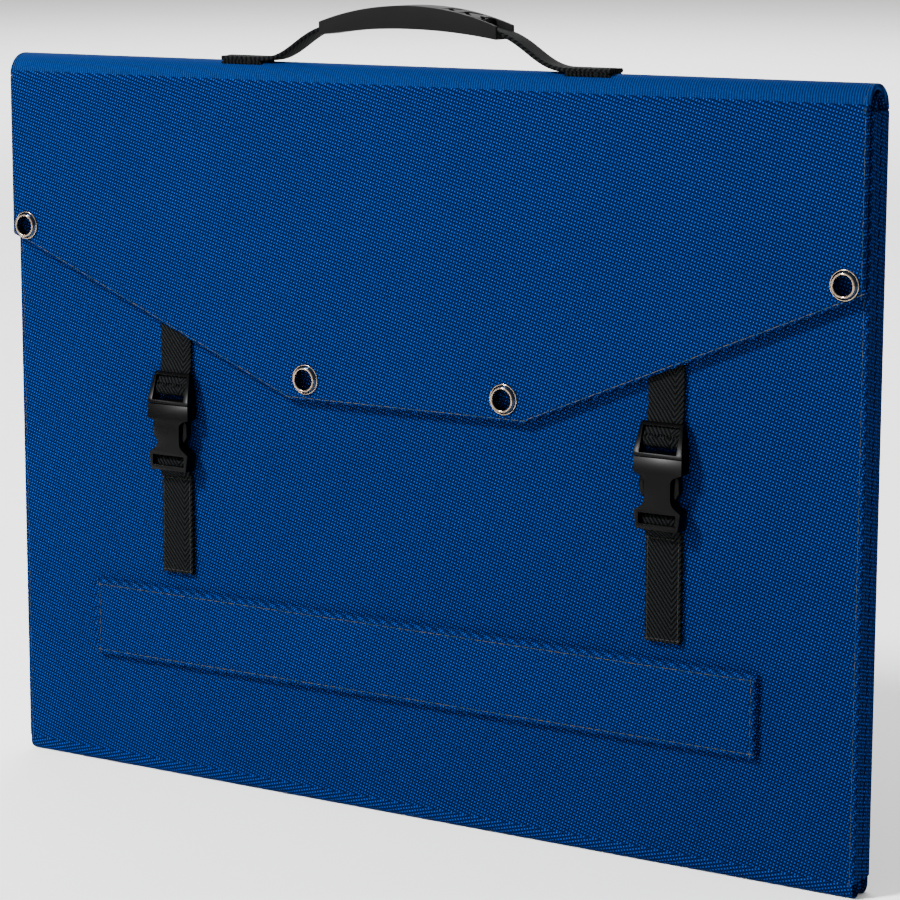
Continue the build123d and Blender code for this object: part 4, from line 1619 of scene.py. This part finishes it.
# ---------------------------------------------------------------------------
# Handle
# ---------------------------------------------------------------------------
@dataclass
class Handle:
    """Moulded grip on a webbing strap between two sewn feet."""

    width: float = 15.0
    thickness: float = 2.4
    foot_inner: float = 97.0
    foot_outer: float = 124.0
    grip_half: float = 56.5
    grip_end_rise: float = 23.0
    entry_rise: float = 19.2
    pull: float = 17.0
    ply_share: float = 0.62
    chevrons: Sequence[float] = (-44.0, -34.0, -24.0, 24.0, 34.0, 44.0)

    def strap_half(self, hand: int) -> bpy.types.Object:
        """Sweep one half of the strap, from its foot up to the middle of the grip.

        Args:
            hand: -1 for the left half, 1 for the right one.

        Returns:
            The half strap.
        """
        crest = millimetres("spine")[1].z
        low, high = millimetres("handle_strap")
        middle = (low.y + high.y) / 2
        lying = crest + self.thickness / 2 + 0.2
        foot, start = Vector((self.foot_outer, lying)), Vector((self.foot_inner, lying))
        enter = Vector((self.grip_half, crest + self.entry_rise))
        crown = Vector((0.0, high.z - 0.8))
        chord = (enter.x ** 2 + (crown.y - enter.y) ** 2) / (2 * (crown.y - enter.y))
        slope = enter.x / (chord - (crown.y - enter.y))
        handle_in = start + Vector((-self.pull, 0))
        handle_out = enter + Vector((1, -slope)).normalized() * self.pull
        curve = [start * (1 - t) ** 3 + handle_in * (3 * t * (1 - t) ** 2)
                 + handle_out * (3 * t * t * (1 - t)) + enter * t ** 3
                 for t in (s / 22 for s in range(23))]
        inside = [Vector((x, crown.y - chord + math.sqrt(chord ** 2 - x * x)))
                  for x in (self.grip_half - 7.0 * s for s in range(1, 9))]
        path = [foot] + curve + inside
        section = band_section(self.width, self.thickness, steps=6)
        name = "left" if hand < 0 else "right"
        return sweep(f"handle_strap_{name}", path, [(s, -h) for s, h in section],
                     lambda x, z, side: Vector((hand * x, middle + side, z)), start=hand * 3.0)

    def grip(self) -> bpy.types.Object:
        """Make the grip: a rounded crescent with chevron recesses in its top.

        Returns:
            The grip, undressed.
        """
        made = soft_copy("handle_grip", "grip_moulding", 0.9, 3, 40.0)
        low, high = millimetres("handle_grip")
        middle = (low.y + high.y) / 2
        rise = high.z - millimetres("spine")[1].z - self.grip_end_rise
        radius = (self.grip_half ** 2 + rise ** 2) / (2 * rise)
        for x in self.chevrons:
            drop = math.sqrt(radius ** 2 - x * x)
            top, slope = high.z - radius + drop, -x / drop
            lean = 1 if x > 0 else -1
            made = carve(made, self.chevron(x, middle, top, slope, lean), 35.0)
        return made

    def chevron(self, x: float, y: float, z: float, slope: float,
                lean: int) -> bpy.types.Object:
        """Make a V-shaped cutter that points towards the grip's middle.

        Args:
            x: the cutter's place along the grip.
            y: the grip's middle depth.
            z: the grip's top there.
            slope: how steeply the top falls there.
            lean: 1 on the right of the middle, -1 on the left.

        Returns:
            The cutter.
        """
        half, arm, wide, deep = 6.0, 5.0, 3.2, 1.1
        flat = [(0.0, 0.0), (arm, half), (arm + wide, half), (wide, 0.0), (arm + wide, -half),
                (arm, -half)]
        low_ring, high_ring = [], []
        for along, across in flat:
            px = x + lean * (along - wide)
            pz = z + slope * (px - x)
            low_ring.append(Vector((px, y + across, pz - deep)))
            high_ring.append(Vector((px, y + across, pz + 2.0)))
        return loft("chevron", [low_ring, high_ring])

    def foot(self, hand: int) -> list[bpy.types.Object]:
        """Make a sewn foot: the strap's end folded back over itself, lying on the arch.

        Args:
            hand: -1 for the left foot, 1 for the right one.

        Returns:
            The foot's two plies.
        """
        low, high = millimetres("spine")
        radius = (high.y - low.y) / 2
        centre = (low.y + radius, high.z - radius)
        ply = self.thickness * self.ply_share
        middle = hand * (self.foot_outer + self.foot_inner) / 2
        length = self.foot_outer - self.foot_inner
        plies = []
        for level, trim in ((0, 0.0), (1, 1.2)):
            ring = radius + ply * (0.5 + level) + 0.02
            reach = math.degrees(math.asin((self.width / 2 - 0.35) / ring))
            path = arc_path(centre, ring, 90 + reach, 90 - reach, 16)
            section = band_section(length - trim, ply, steps=6)
            plies.append(sweep(f"foot_{hand}_{level}", path, section,
                               lambda y, z, side: Vector((middle + side, y, z))))
        return plies

    def build(self) -> None:
        """Build the handle."""
        crest = millimetres("spine")[1].z
        for hand in (-1, 1):
            made = self.strap_half(hand)
            dress(made, Stock.WEBBING, replaces=["handle_strap"] if hand < 0 else [])
            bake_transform(made)
        dress(self.grip(), Stock.GRIP, "handle", ["handle_grip"])
        feet = join("handle_feet_webbing", self.foot(-1) + self.foot(1))
        dress(feet, Stock.WEBBING, "rear_panel", ["handle_feet"])
        row = Row("foot_stitches", RowKind.STRAP_STITCH, 2.7, Stock.STRAP_THREAD, seed=41,
                  facing=(0.0, 0.0, 1.0))
        level = crest + 2 * self.ply_share * self.thickness - 0.48
        for hand in (-1, 1):
            inner, outer = hand * (self.foot_inner + 5), hand * (self.foot_outer - 2)
            row.lines += [[Vector((inner, y, level)), Vector((outer, y, level))]
                          for y in (-8.0, 0.0)]
        row.build("rear_panel")


# ---------------------------------------------------------------------------
# Rear pocket with its zip, and the controller in it
# ---------------------------------------------------------------------------
@dataclass
class Pocket:
    """Bellows pocket on the rear panel, closed by a zip."""

    body: str = "rear_panel"
    hem: float = 8.0
    edge: float = 3.4
    cloth: float = 0.9
    zip_length: float = 180.0
    hem_stitches: Point = (3.0, 6.0)

    def build(self) -> None:
        """Build the bag, its zip and the pieces inside."""
        low, high = millimetres("rear_pocket")
        tapes_low, tapes_high = millimetres("zip_tapes")
        base, top, hem, edge = low.y, high.y, self.hem, self.edge
        face = base + self.cloth
        flat = Layered(box_corners(low.x, high.x, low.z, high.z), (False,) * 4, radius=6.0)
        levels = [(hem + 1.4, base, False), (0.4, base, False), (0.0, base + 0.3, False),
                  (0.0, base + 0.6, False), (0.4, face, False), (hem - 1.0, face, False),
                  (hem - 0.2, face + 0.4, False), (hem, face + 1.6, False)]
        for step in range(1, 7):
            angle = math.radians(90 * step / 6)
            levels.append((hem + edge * (1 - math.cos(angle)),
                           top - edge + edge * math.sin(angle), False))
        made = flat.skin("pocket_cloth", levels)
        slot = Layered(box_corners(-self.zip_length / 2 - 0.2, self.zip_length / 2 + 0.2,
                                   tapes_low.z - 0.2, tapes_high.z + 0.2), (False,) * 4, radius=1.0)
        cutter = slot.skin("slot", [(0.0, top - self.cloth, False), (0.0, top + 1.0, False)])
        carve(made, cutter)
        dress(made, Stock.FABRIC, self.body, ["rear_pocket"])
        row = Row("pocket_stitches", RowKind.STITCH, STITCH_PITCH, Stock.THREAD, seed=47)
        for inset in self.hem_stitches:
            row.lines += box_lines(face, low.x + inset, high.x - inset,
                                   low.z + inset, high.z - inset)
        for z in (tapes_low.z - 2.0, tapes_high.z + 2.0):
            row.lines.append([Vector((-self.zip_length / 2 - 2, top, z)),
                              Vector((self.zip_length / 2 + 2, top, z))])
        row.build(self.body)
        self.zip(tapes_low, tapes_high, top)
        for node, stock in (("controller_box", Stock.BLACK), ("controller_lid", Stock.BLACK),
                            ("controller_circuit", Stock.CIRCUIT), ("feed_lead", Stock.LEAD),
                            ("usb_sockets", Stock.NICKEL), ("barrel_socket", Stock.BLACK)):
            paint_node(node, stock)

    def zip(self, low: Vector, high: Vector, top: float) -> None:
        """Build tapes, teeth, slider and pull.

        Args:
            low: the tapes' lowest corner.
            high: their highest corner.
            top: the depth Y of the pocket's face.
        """
        middle = (low.z + high.z) / 2
        path = [Vector((low.x, top - 0.45)), Vector((high.x, top - 0.45))]
        tapes = [sweep(f"tape_{hand}", path, band_section(3.5, 0.8),
                       lambda x, y, side, z=middle + hand * 2.75: Vector((x, y, z + side)))
                 for hand in (-1, 1)]
        dress(join("zip_tape_pair", tapes), Stock.WEBBING, self.body, ["zip_tapes"])
        row = Row("zip_teeth_row", RowKind.TOOTH, 1.6, Stock.BLACK, stagger=0.9)
        row.lines = [[Vector((x, top + 0.1, middle)) for x in (low.x + 1, high.x - 1)]]
        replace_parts(row.build(self.body), "zip_teeth")
        for part, bevel in (("zip_slider", 0.4), ("zip_pull", 0.25)):
            dress(soft_copy(part, f"{part}_casting", bevel), Stock.NICKEL, part, [part])


# ---------------------------------------------------------------------------
# Stage, light and camera
# ---------------------------------------------------------------------------
@dataclass(frozen=True)
class Lamp:
    """A soft square lamp: place and aim in metres, side in metres and power in watts."""

    place: tuple[float, float, float]
    aim: tuple[float, float, float]
    size: float
    power: float

    def build(self, name: str) -> None:
        """Hang the lamp, turned towards its aim.

        Args:
            name: the lamp's name.
        """
        lamp = bpy.data.lights.new(name, "AREA")
        lamp.size = self.size
        lamp.energy = self.power
        made = show(name, lamp)
        made.location = self.place
        towards = Vector(self.aim) - Vector(self.place)
        made.rotation_euler = towards.to_track_quat("-Z", "Y").to_euler()


@dataclass
class Studio:
    """Pale floor, soft light and the camera."""

    camera_place: tuple[float, float, float] = (0.9272, -1.4540, 0.5167)
    azimuth: float = 32.72
    elevation: float = 10.137
    lens: float = 126.7
    shift: float = 0.0463
    world: float = 0.65
    backdrop: float = 2.2
    backdrop_edge: Point = (0.900, 0.972)
    floor_half: float = 14.0
    key: Lamp = Lamp((-1.3, -2.2, 2.4), (0.0, 0.0, 0.2), 0.5, 380)
    backdrop_lamp: Lamp = Lamp((-3.5, 5.5, 4.0), (-3.5, 5.6, 0.0), 5.0, 650)
    fill: Lamp = Lamp((-0.6, -2.8, 0.7), (0.0, 0.0, 0.2), 1.8, 22)
    rim: Lamp = Lamp((-0.6, 1.9, 2.0), (0.0, 0.0, 0.2), 1.6, 45)

    def floor(self) -> None:
        """A pale floor with its edge far away."""
        mesh, far = bpy.data.meshes.new("floor"), self.floor_half
        mesh.from_pydata([(-far, -far, 0), (far, -far, 0), (far, far, 0), (-far, far, 0)], [],
                         [(0, 1, 2, 3)])
        made = show("floor", mesh)
        bench = Bench("floor")
        mottle = bench.noise(3.0)
        mesh.materials.append(bench.close(
            {"Roughness": 0.9, "Specular IOR Level": 0.1},
            {"Base Color": bench.mix(mottle, (0.86, 0.86, 0.86), (0.9, 0.9, 0.9))}))

    def backdrop_glow(self, tree: bpy.types.NodeTree) -> None:
        """Light evenly all round, brighter in one patch behind the pack.

        Args:
            tree: the world's node tree.
        """
        rise, turn = math.radians(self.elevation), math.radians(self.azimuth)
        towards = (-math.sin(turn) * math.cos(rise), math.cos(turn) * math.cos(rise),
                   -math.sin(rise) * 0.2)
        sky = add_node(tree, "ShaderNodeTexCoord")
        near = add_node(tree, "ShaderNodeVectorMath", {"operation": "DOT_PRODUCT"},
                        {0: sky.outputs["Generated"], 1: towards})
        ends = (*self.backdrop_edge, self.world, self.backdrop)
        patch = add_node(tree, "ShaderNodeMapRange", {"interpolation_type": "SMOOTHSTEP"},
                         {0: near.outputs["Value"], **dict(enumerate(ends, 1))})
        back = tree.nodes["Background"]
        back.inputs[0].default_value = (1, 1, 1, 1)
        tree.links.new(patch.outputs[0], back.inputs[1])

    def build(self) -> None:
        """Build the floor, the lights and the camera."""
        self.floor()
        world = bpy.data.worlds.new("studio")
        bpy.context.scene.world = world
        world.use_nodes = True
        self.backdrop_glow(world.node_tree)
        for name, lamp in (("key", self.key), ("backdrop", self.backdrop_lamp),
                           ("fill", self.fill), ("rim", self.rim)):
            lamp.build(name)
        lens = bpy.data.cameras.new("camera")
        lens.lens = self.lens
        lens.sensor_width = 36.0
        lens.shift_x = self.shift
        lens.clip_start = 0.02
        made = show("camera", lens)
        made.location = self.camera_place
        made.rotation_euler = (math.radians(90 - self.elevation), 0, math.radians(self.azimuth))
        bpy.context.scene.camera = made


def main() -> None:
    """Build every piece in order."""
    logging.basicConfig(level=logging.INFO, format="%(name)s: %(message)s")
    Studio().build()
    assemblies = {
        "panels": [Panel(1, "front_panel", 1, False), Panel(2, "panel_2", -1, True),
                   Panel(3, "panel_3", 1, True), Panel(4, "rear_panel", -1, True)],
        "folds": [Fold("front_fold", "front_panel", "panel_2", False, 0.9),
                  Fold("rear_fold", "panel_3", "rear_panel", False, 0.9),
                  Fold("inner_fold", "panel_2", "panel_3", True, 1.4)],
        "spine": [Spine()],
        "flap": [Flap()],
        "legs": [Leg("front_leg", "front_leg", -1), Leg("rear_leg", "rear_leg", 1)],
        "closures": [Closure("left", -157.0), Closure("right", 160.8)],
        "handle": [Handle()],
        "pocket": [Pocket()],
    }
    for name, parts in assemblies.items():
        for part in parts:
            part.build()
        LOG.info("%s: %d built", name, len(parts))
    bpy.context.view_layer.update()


if __name__ == "__main__":
    main()
